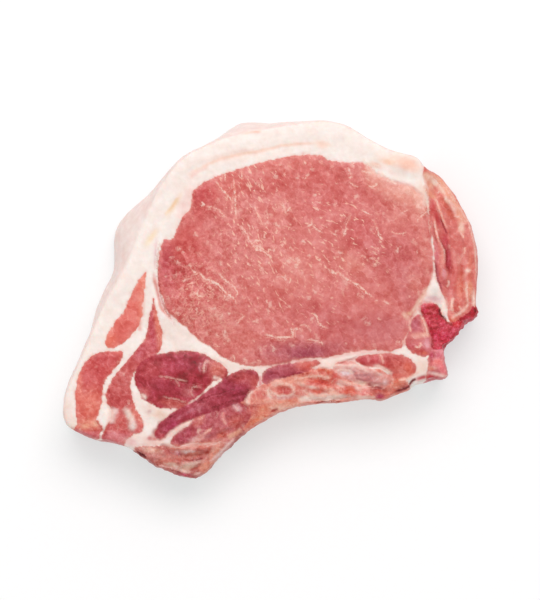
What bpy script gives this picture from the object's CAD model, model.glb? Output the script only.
# %% [markdown]
# # A raw pork rib chop
# A chop is one slice across the loin of a pig. The cut shows the round loin muscle, smaller
# muscles towards the belly, a rib with meat on it, the red marrow of the backbone, and the
# white fat under the rind that holds everything together.
#
# The CAD part gives each muscle its own solid. All of them are soft and wet and grown together,
# so the looks are built as one closed skin over all the solids, with the muscles painted and
# modelled on it. Every size is in metres, and the outlines in the tables are in millimetres.

import math

import bpy
import numpy as np
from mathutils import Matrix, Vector, noise
from mathutils.bvhtree import BVHTree


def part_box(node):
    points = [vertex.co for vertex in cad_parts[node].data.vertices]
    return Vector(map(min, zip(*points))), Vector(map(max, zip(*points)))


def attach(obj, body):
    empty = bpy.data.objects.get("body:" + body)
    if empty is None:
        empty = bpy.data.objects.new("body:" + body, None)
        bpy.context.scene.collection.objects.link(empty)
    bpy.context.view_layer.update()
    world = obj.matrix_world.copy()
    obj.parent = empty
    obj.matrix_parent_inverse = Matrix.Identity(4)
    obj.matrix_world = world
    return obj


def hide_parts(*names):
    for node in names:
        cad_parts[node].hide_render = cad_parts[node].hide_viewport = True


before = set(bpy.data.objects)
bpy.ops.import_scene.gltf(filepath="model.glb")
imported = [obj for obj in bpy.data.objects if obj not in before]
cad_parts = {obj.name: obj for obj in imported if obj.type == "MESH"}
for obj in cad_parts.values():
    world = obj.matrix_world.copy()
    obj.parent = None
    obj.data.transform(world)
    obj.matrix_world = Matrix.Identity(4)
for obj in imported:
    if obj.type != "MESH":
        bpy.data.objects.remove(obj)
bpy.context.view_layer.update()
MM = 0.001
chop_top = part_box("loin_eye")[1][2]

# %% [markdown]
# ## Studio
# The camera looks straight down on a white ground. One large soft lamp stands behind it,
# so its short shadows fall to the front and to the sides, and a pale sky fills them. The lens
# is long and far away, so the sides of the chop hardly show.

# %% Camera, floor and lamp
VIEW_HEIGHT = 0.204
CAMERA_DISTANCE = 1.6
SENSOR = 36.0

scene = bpy.context.scene
scene.view_settings.view_transform = "Standard"

camera_data = bpy.data.cameras.new("camera above")
camera_data.lens = SENSOR * CAMERA_DISTANCE / VIEW_HEIGHT
camera_data.sensor_width = SENSOR
camera_data.clip_start = 0.1
camera = bpy.data.objects.new("camera above", camera_data)
camera.location = (0, -0.34 * MM, chop_top + CAMERA_DISTANCE)
scene.collection.objects.link(camera)
scene.camera = camera

bpy.ops.object.select_all(action="DESELECT")
bpy.ops.mesh.primitive_plane_add(size=6, location=(0, 0, -0.05 * MM))
floor = bpy.context.object
floor.name = "table_top"

lamp_data = bpy.data.lights.new("soft lamp", "AREA")
lamp_data.shape = "RECTANGLE"
lamp_data.size = 1.3
lamp_data.size_y = 0.8
lamp_data.energy = 11.5
lamp = bpy.data.objects.new("soft lamp", lamp_data)
lamp.location = (0.02, 0.75, 1.15)
lamp.rotation_euler = (Vector((0, 0, 0)) - lamp.location).to_track_quat("-Z", "Y").to_euler()
scene.collection.objects.link(lamp)

world = bpy.data.worlds.new("pale room")
world.use_nodes = True
world.node_tree.nodes["Background"].inputs["Color"].default_value = (1, 1, 1, 1)
world.node_tree.nodes["Background"].inputs["Strength"].default_value = 0.76
scene.world = world
print("lens", round(camera_data.lens, 1), "mm")

# %% [markdown]
# ## Node helpers
# Materials are wired in code. These few helpers add a node with its settings, and do sums and
# blends, so that each material reads as a list of steps.


# %% Helpers for wiring nodes
def add_node(tree, kind, inputs=None, **settings):
    """A node of this kind. inputs gives sockets a value or another node's output."""
    node = tree.nodes.new(kind)
    for name, value in settings.items():
        setattr(node, name, value)
    for name, value in (inputs or {}).items():
        if isinstance(value, bpy.types.NodeSocket):
            tree.links.new(value, node.inputs[name])
        else:
            node.inputs[name].default_value = value
    return node


def sums(tree, operation, *values, clamp=False):
    inputs = {index: value for index, value in enumerate(values) if value is not None}
    return add_node(tree, "ShaderNodeMath", inputs, operation=operation, use_clamp=clamp).outputs[0]


def blended(tree, share, first, second, way="MIX"):
    """first where share is 0 and second where it is 1, as colours."""
    mix = add_node(
        tree, "ShaderNodeMix", {0: share, 6: first, 7: second}, data_type="RGBA", blend_type=way
    )
    return mix.outputs[2]


def ramp(tree, value, low, high, start=0.0, end=1.0):
    """value turned smoothly from start, at low, into end, at high."""
    inputs = {"Value": value, "From Min": low, "From Max": high, "To Min": start, "To Max": end}
    return add_node(tree, "ShaderNodeMapRange", inputs, interpolation_type="SMOOTHSTEP").outputs[0]


def attribute(tree, name):
    return add_node(tree, "ShaderNodeAttribute", attribute_name=name)


def texture(tree, place, size, detail=2.0, rough=0.5, warp=0.0):
    """Soft noise whose patches are about size metres across."""
    inputs = {"Vector": place, "Scale": 1 / size, "Detail": detail, "Roughness": rough, "Distortion": warp}
    return add_node(tree, "ShaderNodeTexNoise", inputs).outputs["Fac"]


def new_material(name):
    material = bpy.data.materials.new(name)
    material.use_nodes = True
    return material, material.node_tree, material.node_tree.nodes["Principled BSDF"]


# %% [markdown]
# ## Colours
# The colours are noted as they look under the lamp, from 0 to 255. The lamp and the wet sheen
# add their share, so `surface_colour` takes it off again to find the colour of the flesh itself.

# %% From the colour seen to the colour of the surface
LIGHT_LEVEL = 1.17
SHEEN = 0.02


def linear(level):
    level = level / 255
    return level / 12.92 if level <= 0.04045 else ((level + 0.055) / 1.055) ** 2.4


def surface_colour(red, green, blue):
    return tuple(max(0.004, (linear(c) - SHEEN) / LIGHT_LEVEL) for c in (red, green, blue))


print("white fat is", surface_colour(249, 232, 226))

# %% [markdown]
# ## Table top
# The table is a sheet of matt white acrylic with a weak light behind it, as studios use to keep
# shadows pale and grey. It has to stay plain, so that only the chop draws the eye.

# %% Lit acrylic for the table top
GLOW = 0.478
material, tree, shader = new_material("lit acrylic")
place = add_node(tree, "ShaderNodeTexCoord").outputs["Object"]
tooth = texture(tree, place, 2.0 * MM)
acrylic = blended(tree, tooth, (0.53, 0.45, 0.45, 1), (0.545, 0.465, 0.465, 1))
tree.links.new(acrylic, shader.inputs["Base Color"])
shader.inputs["Roughness"].default_value = 0.9
shader.inputs["Specular IOR Level"].default_value = 0.1
shader.inputs["Emission Color"].default_value = (0.82, 1.0, 1.0, 1)
shader.inputs["Emission Strength"].default_value = GLOW
floor.data.materials.append(material)

# %% [markdown]
# ## One skin over all the muscles
# The muscles and the fat touch everywhere on a real chop. The CAD solids leave a hair's gap
# between them, so each is copied, swollen until the gaps close, joined, and remeshed in small
# cubes, which leaves one closed skin. The remesh is even, so it can be painted and pushed about
# by code, as clay is.

# %% Copy, swell and join the CAD solids
SWELL = 0.26 * MM
VOXEL = 0.89 * MM
LEAN_NODES = [name for name in sorted(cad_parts) if name != "fat"]


def only(obj):
    """Selects this object alone and makes it active."""
    bpy.ops.object.select_all(action="DESELECT")
    obj.select_set(True)
    bpy.context.view_layer.objects.active = obj


def apply_modifier(obj, kind, **settings):
    only(obj)
    modifier = obj.modifiers.new(kind.title(), kind)
    for name, value in settings.items():
        setattr(modifier, name, value)
    bpy.ops.object.modifier_apply(modifier=modifier.name)


copies = []
for name, node in sorted(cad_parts.items()):
    copy = bpy.data.objects.new(name + "_copy", node.data.copy())
    copy.data.materials.clear()
    scene.collection.objects.link(copy)
    only(copy)
    bpy.ops.object.mode_set(mode="EDIT")
    bpy.ops.mesh.select_all(action="SELECT")
    bpy.ops.mesh.remove_doubles(threshold=0.005 * MM)
    bpy.ops.transform.shrink_fatten(value=SWELL)
    bpy.ops.object.mode_set(mode="OBJECT")
    copies.append(copy)
only(copies[0])
for copy in copies:
    copy.select_set(True)
bpy.ops.object.join()
chop = bpy.context.object
chop.name = "chop_flesh"
apply_modifier(chop, "REMESH", mode="VOXEL", voxel_size=VOXEL, adaptivity=0)
print("skin of", len(chop.data.polygons), "faces")


# %% Read and write the skin's points
def points_of(mesh):
    found = np.empty(len(mesh.vertices) * 3, np.float32)
    mesh.vertices.foreach_get("co", found)
    return found.reshape(-1, 3).astype(float)


def normals_of(mesh):
    found = np.empty(len(mesh.vertices) * 3, np.float32)
    mesh.vertex_normals.foreach_get("vector", found)
    return found.reshape(-1, 3).astype(float)


def set_points(mesh, points):
    mesh.vertices.foreach_set("co", points.astype(np.float32).ravel())
    mesh.update()


def smooth_group(obj, name, weights, iterations, **axes):
    """Smooths the points of obj by these weights, along some axes only."""
    group = obj.vertex_groups.new(name=name)
    steps = np.round(weights * 10).astype(int)
    for step in range(1, 11):
        group.add(np.flatnonzero(steps == step).tolist(), step / 10, "REPLACE")
    apply_modifier(obj, "SMOOTH", factor=0.5, iterations=iterations, vertex_group=name, **axes)
    obj.vertex_groups.remove(obj.vertex_groups[name])


def ease(value, low, high):
    """0 below low, 1 above high, and a smooth step between."""
    share = np.clip((value - low) / (high - low), 0, 1)
    return share * share * (3 - 2 * share)


# %% Smooth the facets out of the face and the sides
points = points_of(chop.data)
normals = normals_of(chop.data)
flat = ease(np.abs(normals[:, 2]), 0.8, 0.97)
smooth_group(chop, "faces", flat, 40, use_x=False, use_y=False, use_z=True)
smooth_group(chop, "sides", 1 - ease(np.abs(normals[:, 2]), 0.5, 0.9), 6)
smooth_group(chop, "all", np.ones(len(points)), 1)

# %% Finer faces on the cut face
FINE_FROM = 9 * MM
only(chop)
faces = chop.data.polygons
upward = [f.index for f in faces if f.normal.z > 0.55 and f.center.z > FINE_FROM]
for kind in (faces, chop.data.edges, chop.data.vertices):
    kind.foreach_set("select", np.zeros(len(kind), bool))
for index in upward:
    faces[index].select = True
bpy.ops.object.mode_set(mode="EDIT")
bpy.ops.mesh.select_mode(type="FACE")
bpy.ops.mesh.subdivide(number_cuts=1, smoothness=0)
bpy.ops.mesh.select_all(action="SELECT")
bpy.ops.mesh.quads_convert_to_tris()
bpy.ops.object.mode_set(mode="OBJECT")
print("finer skin of", len(chop.data.polygons), "triangles")

# %% [markdown]
# ## What lies where
# The walls between the muscles stand upright, so a point's tissue can be looked up half way
# down the CAD solids. Each point keeps which muscle is nearest and how far inside the lean it
# is. The material needs that distance to draw a crisp edge between lean and fat.

# %% Look up the tissue at each point
MIDDLE = chop_top / 2
HALF_GAP = 0.15


def search_tree(names):
    """A search tree over these CAD nodes, and the node of each of its faces."""
    corners, faces, owners = [], [], []
    for name in names:
        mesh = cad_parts[name].data
        first = len(corners)
        corners += [vertex.co.copy() for vertex in mesh.vertices]
        faces += [[first + index for index in face.vertices] for face in mesh.polygons]
        owners += [name] * len(mesh.polygons)
    return BVHTree.FromPolygons(corners, faces), np.array(owners)


def nearest(names, points):
    """The nearest of these nodes to each point, and the distance in millimetres."""
    finder, owners = search_tree(names)
    hits = [finder.find_nearest((px, py, MIDDLE)) for px, py, _ in points]
    return owners[[hit[2] for hit in hits]], np.array([hit[3] for hit in hits]) / MM


points = points_of(chop.data)
normals = normals_of(chop.data)
x, y, z = (points / MM).T
# Deeper down, each muscle lies a little to one side of where it shows on the face.
aside = np.array([noise.noise_vector(Vector(p) / (15 * MM)) for p in points]) * [1, 1, 0]
looked = points + aside * (4.0 * MM * ease(chop_top / MM - z, 2, 20))[:, None]
tissue, _ = nearest(sorted(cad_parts), looked)
muscle, to_lean = nearest(LEAN_NODES, looked)
_, to_fat = nearest(["fat"], looked)
lean_edge = np.where(tissue == "fat", -to_lean - HALF_GAP, to_fat + HALF_GAP)
x, y = looked[:, 0] / MM, looked[:, 1] / MM
upward = ease(normals[:, 2], 0.2, 0.7)
sideways = 1 - ease(np.abs(normals[:, 2]), 0.35, 0.8)
print("points:", len(points), "in lean:", int((lean_edge > 0).sum()))


# %% Noise, strokes and dabs to paint and model with
def cloud(size, seed=0.0, depth=1):
    """Soft noise from -1 to 1 at each point, its patches about size millimetres across."""
    places = np.stack([x, y, z], 1) / size + seed
    if depth > 1:
        return np.array([noise.fractal(Vector(p), 0.9, 2.0, depth) for p in places])
    return np.array([noise.noise(Vector(p)) for p in places])


# the wall wavers, as the muscles' own surfaces do
lean_edge += 0.7 * cloud(3.6, 71.0) + 0.7 * cloud(1.5, 83.0)
drift_x = 1.0 * cloud(5, 3.1) + 0.35 * cloud(1.7, 9.4)
drift_y = 1.0 * cloud(5, 17.7) + 0.35 * cloud(1.7, 23.2)


def inside(names):
    return np.isin(muscle, [names] if isinstance(names, str) else names)


def dab(centre, radii, turn=0.0):
    """A soft round patch: 1 at its centre, fading over radii, turned by so many degrees."""
    wander = min(1.0, 0.3 * min(radii))
    across = x + wander * drift_x - centre[0]
    up = y + wander * drift_y - centre[1]
    angle = math.radians(turn)
    first = (across * math.cos(angle) + up * math.sin(angle)) / radii[0]
    second = (up * math.cos(angle) - across * math.sin(angle)) / radii[1]
    return np.exp(-((first**2 + second**2) ** 1.4))


def follow(path, reach, wander=0.0):
    """The points within reach of a path: their numbers, sideways distance and share along it."""
    path = np.array(path, float)
    px, py = x + wander * drift_x, y + wander * drift_y
    low, high = path.min(0) - reach, path.max(0) + reach
    near = np.flatnonzero((px > low[0]) & (px < high[0]) & (py > low[1]) & (py < high[1]))
    px, py = px[near], py[near]
    steps = np.hypot(*np.diff(path, axis=0).T)
    starts = np.concatenate([[0], np.cumsum(steps)])
    best = np.full(len(near), 1e9)
    side = np.zeros(len(near))
    share = np.zeros(len(near))
    for (x0, y0), (x1, y1), length, start in zip(path, path[1:], steps, starts):
        dx, dy = (x1 - x0) / length, (y1 - y0) / length
        t = np.clip((px - x0) * dx + (py - y0) * dy, 0, length)
        gap = np.hypot(px - x0 - t * dx, py - y0 - t * dy)
        closer = gap < best
        best[closer] = gap[closer]
        side[closer] = np.sign(dx * (py - y0) - dy * (px - x0))[closer]
        share[closer] = ((start + t) / starts[-1])[closer]
    kept = best < reach
    return near[kept], (best * side)[kept], share[kept]


def stroke(path, width, taper=0.2, wander=0.3):
    """A soft line along a path: 1 on it, 0 a width away, thinner at both ends."""
    mask = np.zeros(len(x))
    near, away, share = follow(path, width * 1.5, wander)
    ends = np.minimum(share, 1 - share) / taper if taper else np.ones(len(share))
    mask[near] = np.exp(-((np.abs(away) / (width * 0.62)) ** 2.5)) * np.clip(ends, 0, 1) ** 0.5
    return mask


# Here the lean fills more of the seam than the CAD wall leaves it: millimetres, width, path.
for growth, width, path in (
    (0.8, 2.2, ((-37, -43.6), (-34.6, -40.6), (-31, -38), (-27.6, -36.4))),
    (1.2, 1.8, ((53.4, 33), (54.2, 29), (54.6, 25), (54.8, 21))),
    (-1.2, 1.6, ((27, 47.6), (30, 47.4), (34, 46.4))),
    (-2.3, 4.4, ((35.6, 45.6), (39, 44), (43, 42), (47, 40.4), (51, 38.4), (54, 35.6))),
    (1.5, 2.4, ((-36.4, -43.4), (-34, -41.4), (-30.4, -38.6), (-26, -36.2), (-21, -33.4), (-16, -29.8))),
    (0.7, 1.6, ((-17, -26.6), (-13, -27), (-9.6, -24.6))),
    (0.6, 1.6, ((46.4, -13), (48.6, -6.4), (51.6, 0))),
    (0.5, 1.4, ((53.4, 22), (54, 14), (54.2, 8))),
    (0.6, 1.6, ((-4, -22.6), (4, -22), (12, -20.6))),
    (-0.7, 1.2, ((-44.4, -38), (-42.6, -43), (-41, -46.4))),
):
    lean_edge += growth * stroke(path, width)

# %% [markdown]
# ## Colours of the lean
# Lean is not one red. Each muscle has its own: the loin is pale salmon, the small muscles near
# the ribs are dark crimson. Within a muscle the colour drifts where the cut dried, where blood
# lies, or where thin fat shows through. Each muscle gets a ground colour, then soft dabs and
# strokes over it, as in a watercolour.

# %% Ground colour of each muscle
GROUND = {
    "loin_eye": (217, 119, 114),
    "upper_strip": (233, 128, 117),
    "flank_muscle": (214, 98, 93),
    "belly_strip": (203, 91, 90),
    "round_muscle": (172, 54, 65),
    "rib_muscle": (167, 58, 72),
    "lower_muscle": (190, 90, 96),
    "belly_tip": (190, 104, 98),
    "small_rib_muscle": (182, 80, 91),
    "oval_muscle": (202, 92, 89),
    "rib_bone": (230, 161, 152),
    "rib_meat": (228, 138, 124),
    "chine_marrow": (198, 50, 66),
    "chine_muscle": (205, 101, 105),
    "chine_meat": (214, 116, 122),
    "back_flap": (220, 119, 111),
}
lean_tone = np.array([surface_colour(*GROUND[name]) for name in muscle])

# A dab is: colour, strength, centre, radii, turn in degrees. A stroke is: colour, strength,
# width, path.
LOIN_DABS = (
    ((208, 94, 91), 0.75, (-26, 4), (11, 19), 10),
    ((208, 86, 82), 0.75, (-28, 19), (5, 8), -25),
    ((200, 84, 94), 0.7, (-35, 11), (3, 9), 5),
    ((203, 88, 90), 0.55, (-31, 10), (4, 4), 0),
    ((200, 70, 74), 0.95, (-22, 35.5), (5, 4.4), 25),
    ((208, 92, 90), 0.7, (-23, 30), (4, 3.5), 30),
    ((220, 112, 103), 0.5, (-14, 38), (8, 5), 20),
    ((209, 104, 101), 0.6, (-12, 20), (5, 6), 0),
    ((208, 98, 96), 0.5, (-17, 26), (4, 3), 0),
    ((224, 127, 117), 0.6, (4, 46), (14, 3), 2),
    ((213, 101, 96), 0.65, (3, 40), (6, 4), 15),
    ((214, 102, 98), 0.65, (15, 42), (7, 4), -10),
    ((222, 128, 120), 0.5, (3, 27), (9, 7), 0),
    ((212, 101, 99), 0.6, (17, 32), (9, 5), 20),
    ((208, 97, 97), 0.7, (31, 23), (7, 6), -10),
    ((214, 108, 105), 0.5, (28, 34), (6, 6), 0),
    ((203, 98, 99), 0.65, (42, 14), (10, 8), -30),
    ((206, 110, 112), 0.6, (48, 4), (5, 7), 0),
    ((227, 136, 127), 0.65, (8, 10), (12, 8), 0),
    ((220, 124, 118), 0.4, (-6, 2), (10, 7), 0),
    ((208, 107, 108), 0.6, (20, -8), (13, 6), -20),
    ((205, 110, 111), 0.85, (38, -10), (10, 6), 0),
    ((216, 124, 116), 0.6, (-20, -7), (9, 7), -35),
    ((221, 126, 118), 0.5, (-9, -14), (7, 5), -20),
    ((180, 84, 96), 0.9, (11, -17.6), (10, 3.4), 1),
    ((172, 76, 92), 0.8, (12, -18.8), (7, 2), 2),
    ((193, 96, 103), 0.6, (1, -18.5), (6, 3.2), -5),
    ((197, 101, 106), 0.6, (22, -16), (5, 2.5), 10),
    ((235, 166, 152), 0.85, (44.5, 35.5), (7, 3.6), -22),
    ((243, 190, 174), 0.85, (37, 42.5), (5.5, 2.6), -22),
    ((231, 150, 136), 0.7, (36, 39.5), (5, 2.5), -25),
    ((227, 140, 128), 0.7, (50.5, 31), (3.5, 6), 0),
    ((224, 134, 124), 0.6, (45, 29), (6, 4), 30),
    ((224, 134, 122), 0.65, (49.5, 5), (3, 5), 20),
    ((226, 140, 126), 0.6, (28, 12), (5, 3), -25),
    ((225, 138, 127), 0.6, (52.5, 17), (2, 8), 5),
)
DABS = {
    "upper_strip": (
        ((238, 142, 122), 0.8, (-43.4, 6), (2, 3.5), 0),
        ((223, 108, 100), 0.8, (-49.5, -9.5), (4.5, 3.2), 50),
        ((238, 132, 112), 0.8, (-54.6, -14.5), (2.5, 2), 40),
        ((240, 150, 132), 0.7, (-43.5, -3), (1.3, 7), 0),
    ),
    "flank_muscle": (
        ((207, 90, 94), 0.7, (-56, -20.5), (6, 2.5), -10),
        ((203, 78, 80), 0.8, (-58, -25), (4, 4), 0),
        ((203, 82, 84), 0.7, (-62.5, -29), (2, 5), 0),
        ((233, 128, 114), 0.8, (-65, -31), (1.2, 10), 0),
        ((234, 130, 112), 0.8, (-61, -36), (4, 5), 0),
        ((238, 152, 130), 0.8, (-61.5, -42.5), (4, 2.2), 0),
        ((214, 112, 118), 0.7, (-62, -46.5), (7, 1.6), 8),
    ),
    "belly_strip": (
        ((197, 80, 92), 0.75, (-40, -11), (1.6, 9), 5),
        ((235, 142, 122), 0.8, (-37.9, -8), (1.3, 7), 5),
        ((228, 128, 112), 0.6, (-37.2, -15), (1.4, 4), 0),
        ((197, 86, 96), 0.7, (-44, -18), (3.5, 3), 40),
        ((209, 106, 103), 0.7, (-50, -28), (3.5, 6), 0),
        ((198, 80, 80), 0.8, (-50, -35), (3, 2.5), 0),
        ((205, 92, 86), 0.7, (-50.5, -41), (3.5, 4), 0),
        ((226, 122, 108), 0.8, (-45, -39.5), (1.8, 4), 15),
        ((222, 128, 134), 0.6, (-52, -46.5), (6, 1.5), 0),
    ),
    "round_muscle": (
        ((196, 80, 84), 0.7, (-40.5, -25), (4, 4), 0),
        ((163, 54, 66), 0.7, (-30.5, -30.5), (5, 3), -10),
        ((166, 58, 73), 0.7, (-28, -22), (5, 3), 0),
        ((168, 60, 74), 0.6, (-38, -29.5), (4, 3), 0),
        ((222, 126, 113), 0.85, (-18, -24), (3, 2.8), -20),
        ((205, 100, 92), 0.8, (-33, -35.6), (5, 1.4), -10),
        ((200, 108, 110), 0.6, (-28, -31.5), (2.2, 1.8), 0),
        ((198, 92, 90), 0.7, (-42.8, -32), (1.8, 2), 0),
    ),
    "rib_muscle": (
        ((192, 80, 80), 0.8, (-9.5, -26.5), (5, 2.4), -5),
        ((204, 96, 90), 0.7, (-5.2, -28.5), (1.6, 3), 0),
        ((155, 46, 64), 0.8, (-12.5, -31), (5, 2.6), -20),
        ((188, 78, 92), 0.75, (-20.5, -33.5), (4, 2), -35),
        ((172, 66, 84), 0.75, (-34, -43), (4, 2.2), 35),
        ((192, 84, 96), 0.75, (-27, -38.5), (6, 1.5), 32),
        ((188, 90, 96), 0.7, (-37.5, -46), (2, 1.6), 0),
    ),
    "lower_muscle": (
        ((172, 64, 80), 0.85, (-28.5, -46.8), (3.8, 2.4), 30),
        ((204, 112, 118), 0.7, (-18, -42), (4, 3.5), 20),
        ((196, 90, 84), 0.8, (-11, -41.5), (2.8, 2.4), 0),
        ((222, 138, 128), 0.7, (-14, -46.6), (4, 1.6), -35),
        ((214, 130, 128), 0.6, (-22, -47.5), (4, 1.4), 0),
        ((190, 92, 104), 0.6, (-22, -40.5), (3, 1.8), 30),
    ),
    "belly_tip": (
        ((240, 202, 196), 0.9, (-28, -51.6), (2.6, 1.4), 0),
        ((196, 104, 94), 0.8, (-28, -53.6), (8, 1.0), 8),
        ((188, 66, 52), 0.9, (-21.2, -52.3), (1.2, 0.9), 0),
        ((224, 152, 140), 0.8, (-19, -50.6), (1.8, 4), -30),
        ((226, 138, 112), 0.8, (-20, -57), (2, 4), -30),
        ((238, 196, 180), 0.85, (-27.5, -56.6), (2.6, 1.1), -8),
        ((214, 138, 124), 0.7, (-35, -55), (4, 1.4), 12),
        ((170, 60, 78), 0.8, (-29, -60), (3, 1), 0),
        ((205, 128, 122), 0.6, (-39, -53), (3, 1.6), 20),
    ),
    "small_rib_muscle": (
        ((186, 90, 98), 0.6, (9, -23.5), (6, 1.4), 0),
        ((164, 64, 80), 0.7, (-0.5, -25.5), (2.6, 1.8), 0),
        ((214, 118, 112), 0.7, (15.5, -22), (2.2, 1.2), 0),
    ),
    "oval_muscle": (
        ((194, 80, 84), 0.7, (34.5, -21), (3, 1.6), 0),
        ((219, 120, 108), 0.8, (44, -23.2), (3.6, 2.6), 0),
        ((228, 138, 122), 0.6, (46, -25.6), (2.6, 1.2), 20),
    ),
    "rib_bone": (
        ((232, 186, 182), 0.8, (25.8, -25), (2.2, 1), -20),
        ((206, 138, 134), 0.6, (33, -26), (4, 1.6), -10),
        ((236, 196, 192), 0.7, (30, -24.5), (4, 0.9), -15),
    ),
    "rib_meat": (
        ((203, 84, 66), 0.9, (5, -30.6), (2.8, 1.7), -10),
        ((238, 168, 150), 0.7, (-3.5, -31.5), (2.5, 1.5), 0),
        ((214, 96, 78), 0.85, (17, -27.6), (5, 1.1), -18),
        ((208, 88, 74), 0.8, (15.5, -31), (3, 1.2), -20),
        ((212, 92, 76), 0.85, (27, -31), (2.6, 1.5), -10),
        ((236, 190, 176), 0.7, (20, -33.2), (8, 1.2), 0),
        ((238, 172, 150), 0.6, (10, -27), (5, 1.4), -5),
        ((246, 214, 200), 0.8, (33, -33), (3.4, 1), 0),
        ((160, 58, 54), 0.85, (36.5, -30.8), (3.4, 1.1), 5),
        ((168, 66, 80), 0.75, (37.4, -33.2), (1.6, 1), 0),
        ((230, 150, 132), 0.6, (43, -29), (3, 2), 0),
        ((168, 70, 66), 0.8, (46, -29.6), (2.2, 1), 10),
        ((205, 105, 92), 0.6, (-8.5, -36), (2, 1.6), 0),
        ((226, 140, 118), 0.7, (-4, -39), (5, 2.4), 35),
        ((234, 176, 152), 0.7, (4, -36.5), (5, 1.4), 12),
    ),
    "chine_marrow": (
        ((214, 78, 88), 0.9, (54, -1.8), (2.6, 0.9), 0),
        ((176, 20, 40), 0.95, (53.7, -3), (1.1, 0.7), 0),
        ((182, 34, 50), 0.9, (55.8, -3), (1.1, 0.6), 0),
        ((172, 4, 28), 0.95, (54, -5), (1.2, 0.8), 0),
        ((150, 28, 38), 0.9, (51.9, -5), (0.6, 0.8), 0),
        ((226, 104, 114), 0.9, (55.4, -4.2), (1.3, 0.6), -30),
        ((218, 84, 98), 0.85, (55, -7.2), (2.2, 1), -10),
        ((228, 96, 108), 0.85, (56.2, -8.9), (1.1, 0.6), -20),
        ((154, 22, 38), 0.9, (55, -10.1), (0.9, 0.6), 0),
        ((158, 24, 40), 0.85, (57.4, -9.8), (1.1, 0.6), 0),
        ((206, 66, 84), 0.8, (60, -10), (2.6, 2), 0),
        ((220, 92, 112), 0.85, (62.4, -11.4), (1.2, 1.8), -20),
        ((194, 42, 62), 0.8, (57.6, -13.4), (2.6, 1.8), 0),
        ((146, 22, 36), 0.9, (55.2, -14.6), (0.6, 2.2), 0),
        ((220, 66, 74), 0.85, (63.2, -8.2), (1.6, 1.2), -30),
        ((174, 28, 46), 0.9, (65, -6.8), (1.4, 0.7), 10),
        ((204, 54, 72), 0.9, (67.4, -5.4), (1.6, 1.2), 20),
        ((228, 112, 132), 0.85, (67.6, -6.8), (1.8, 0.5), 10),
        ((134, 28, 32), 0.9, (69.5, -4), (0.5, 0.9), 0),
        ((146, 50, 46), 0.8, (61.2, -8.4), (1.2, 0.4), -20),
    ),
    "chine_muscle": (
        ((186, 86, 97), 0.95, (49.6, -8.6), (1.7, 2.3), -10),
        ((230, 152, 146), 0.85, (52.3, -9.4), (0.8, 2.4), 18),
        ((236, 164, 150), 0.9, (50.6, -12.4), (3.2, 1.1), 0),
        ((246, 186, 166), 0.9, (53, -12.1), (1.1, 0.7), 0),
        ((216, 120, 119), 0.8, (49.4, -14.4), (2.4, 1), 0),
        ((232, 162, 168), 0.9, (53.4, -15.2), (0.9, 1.8), 0),
        ((206, 92, 94), 0.85, (48.4, -16.4), (1.8, 0.6), -14),
        ((209, 94, 88), 0.9, (50.6, -18), (2.6, 1), -8),
        ((216, 102, 82), 0.9, (52.6, -18.5), (1.2, 0.6), 0),
    ),
    "chine_meat": (
        ((238, 134, 148), 0.95, (56.8, -17.3), (1.1, 0.6), 0),
        ((214, 108, 124), 0.9, (57.2, -19), (1.2, 1.3), 0),
        ((186, 56, 80), 0.95, (54.8, -19), (0.9, 1.6), 0),
        ((164, 24, 48), 0.95, (55.8, -19.4), (0.4, 1.4), 0),
        ((240, 122, 116), 0.9, (57, -21.8), (2, 1.3), 0),
        ((226, 152, 132), 0.9, (54.8, -23.6), (1.8, 0.8), 0),
        ((240, 122, 126), 0.85, (58.2, -23.2), (1, 1.5), 10),
        ((248, 214, 204), 0.9, (56.6, -25.4), (3.6, 0.7), 0),
        ((240, 176, 174), 0.8, (54, -25), (1.2, 0.5), 0),
        ((186, 52, 66), 0.9, (53, -26.8), (4, 0.8), 12),
    ),
    "back_flap": (
        # the upper horn: orange by the seam, cream along the middle
        ((231, 140, 116), 0.9, (52.8, 39), (1.1, 3.6), 0),
        ((238, 184, 164), 0.9, (56.4, 40.4), (2.6, 1.6), -40),
        ((229, 142, 114), 0.85, (60.2, 38), (0.9, 3), 38),
        ((226, 130, 112), 0.85, (55.4, 36), (2, 2), -30),
        ((211, 88, 88), 0.95, (55.2, 31.6), (1.4, 3), -4),
        ((226, 118, 100), 0.85, (59, 33.4), (1.4, 2.4), 36),
        ((204, 86, 70), 0.95, (61.2, 29.4), (1.2, 2.2), 24),
        ((237, 168, 154), 0.9, (62.4, 32.4), (1.2, 2.4), 30),
        ((229, 142, 120), 0.9, (65, 28), (1.8, 2.2), 30),
        ((237, 184, 160), 0.9, (65, 24.2), (0.8, 2), 12),
        ((206, 102, 92), 0.8, (66.9, 24.8), (1, 0.5), -35),
        # the leaves down the middle
        ((208, 88, 92), 0.9, (57.2, 27), (1.2, 2.8), 22),
        ((223, 132, 124), 0.85, (55.2, 24.4), (0.8, 4.2), 0),
        ((206, 101, 108), 0.9, (56.6, 15.6), (1, 4.2), 8),
        ((184, 78, 91), 0.9, (56.9, 8.8), (0.9, 3.2), 6),
        ((205, 78, 85), 0.95, (59.6, 20), (1.5, 2.8), 14),
        ((196, 70, 80), 0.95, (60.9, 13.6), (0.9, 5.2), 6),
        ((236, 152, 142), 0.9, (58.8, 13.4), (0.8, 3.4), 4),
        ((226, 140, 146), 0.8, (59.3, 9), (0.7, 1.8), 0),
        ((210, 110, 112), 0.8, (59, 5.6), (1.2, 1.8), 0),
        ((221, 120, 113), 0.8, (64, 17), (1.4, 4), 6),
        ((226, 138, 126), 0.8, (64.6, 13.4), (1, 1.4), 0),
        ((212, 100, 96), 0.8, (62.6, 9), (1.2, 3), 0),
        ((214, 100, 84), 0.8, (65, 8.4), (1, 2.4), 0),
        ((224, 126, 108), 0.85, (68.3, 12), (1, 5), 0),
        ((241, 208, 194), 0.95, (67.4, 9.8), (0.9, 0.7), 0),
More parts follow.
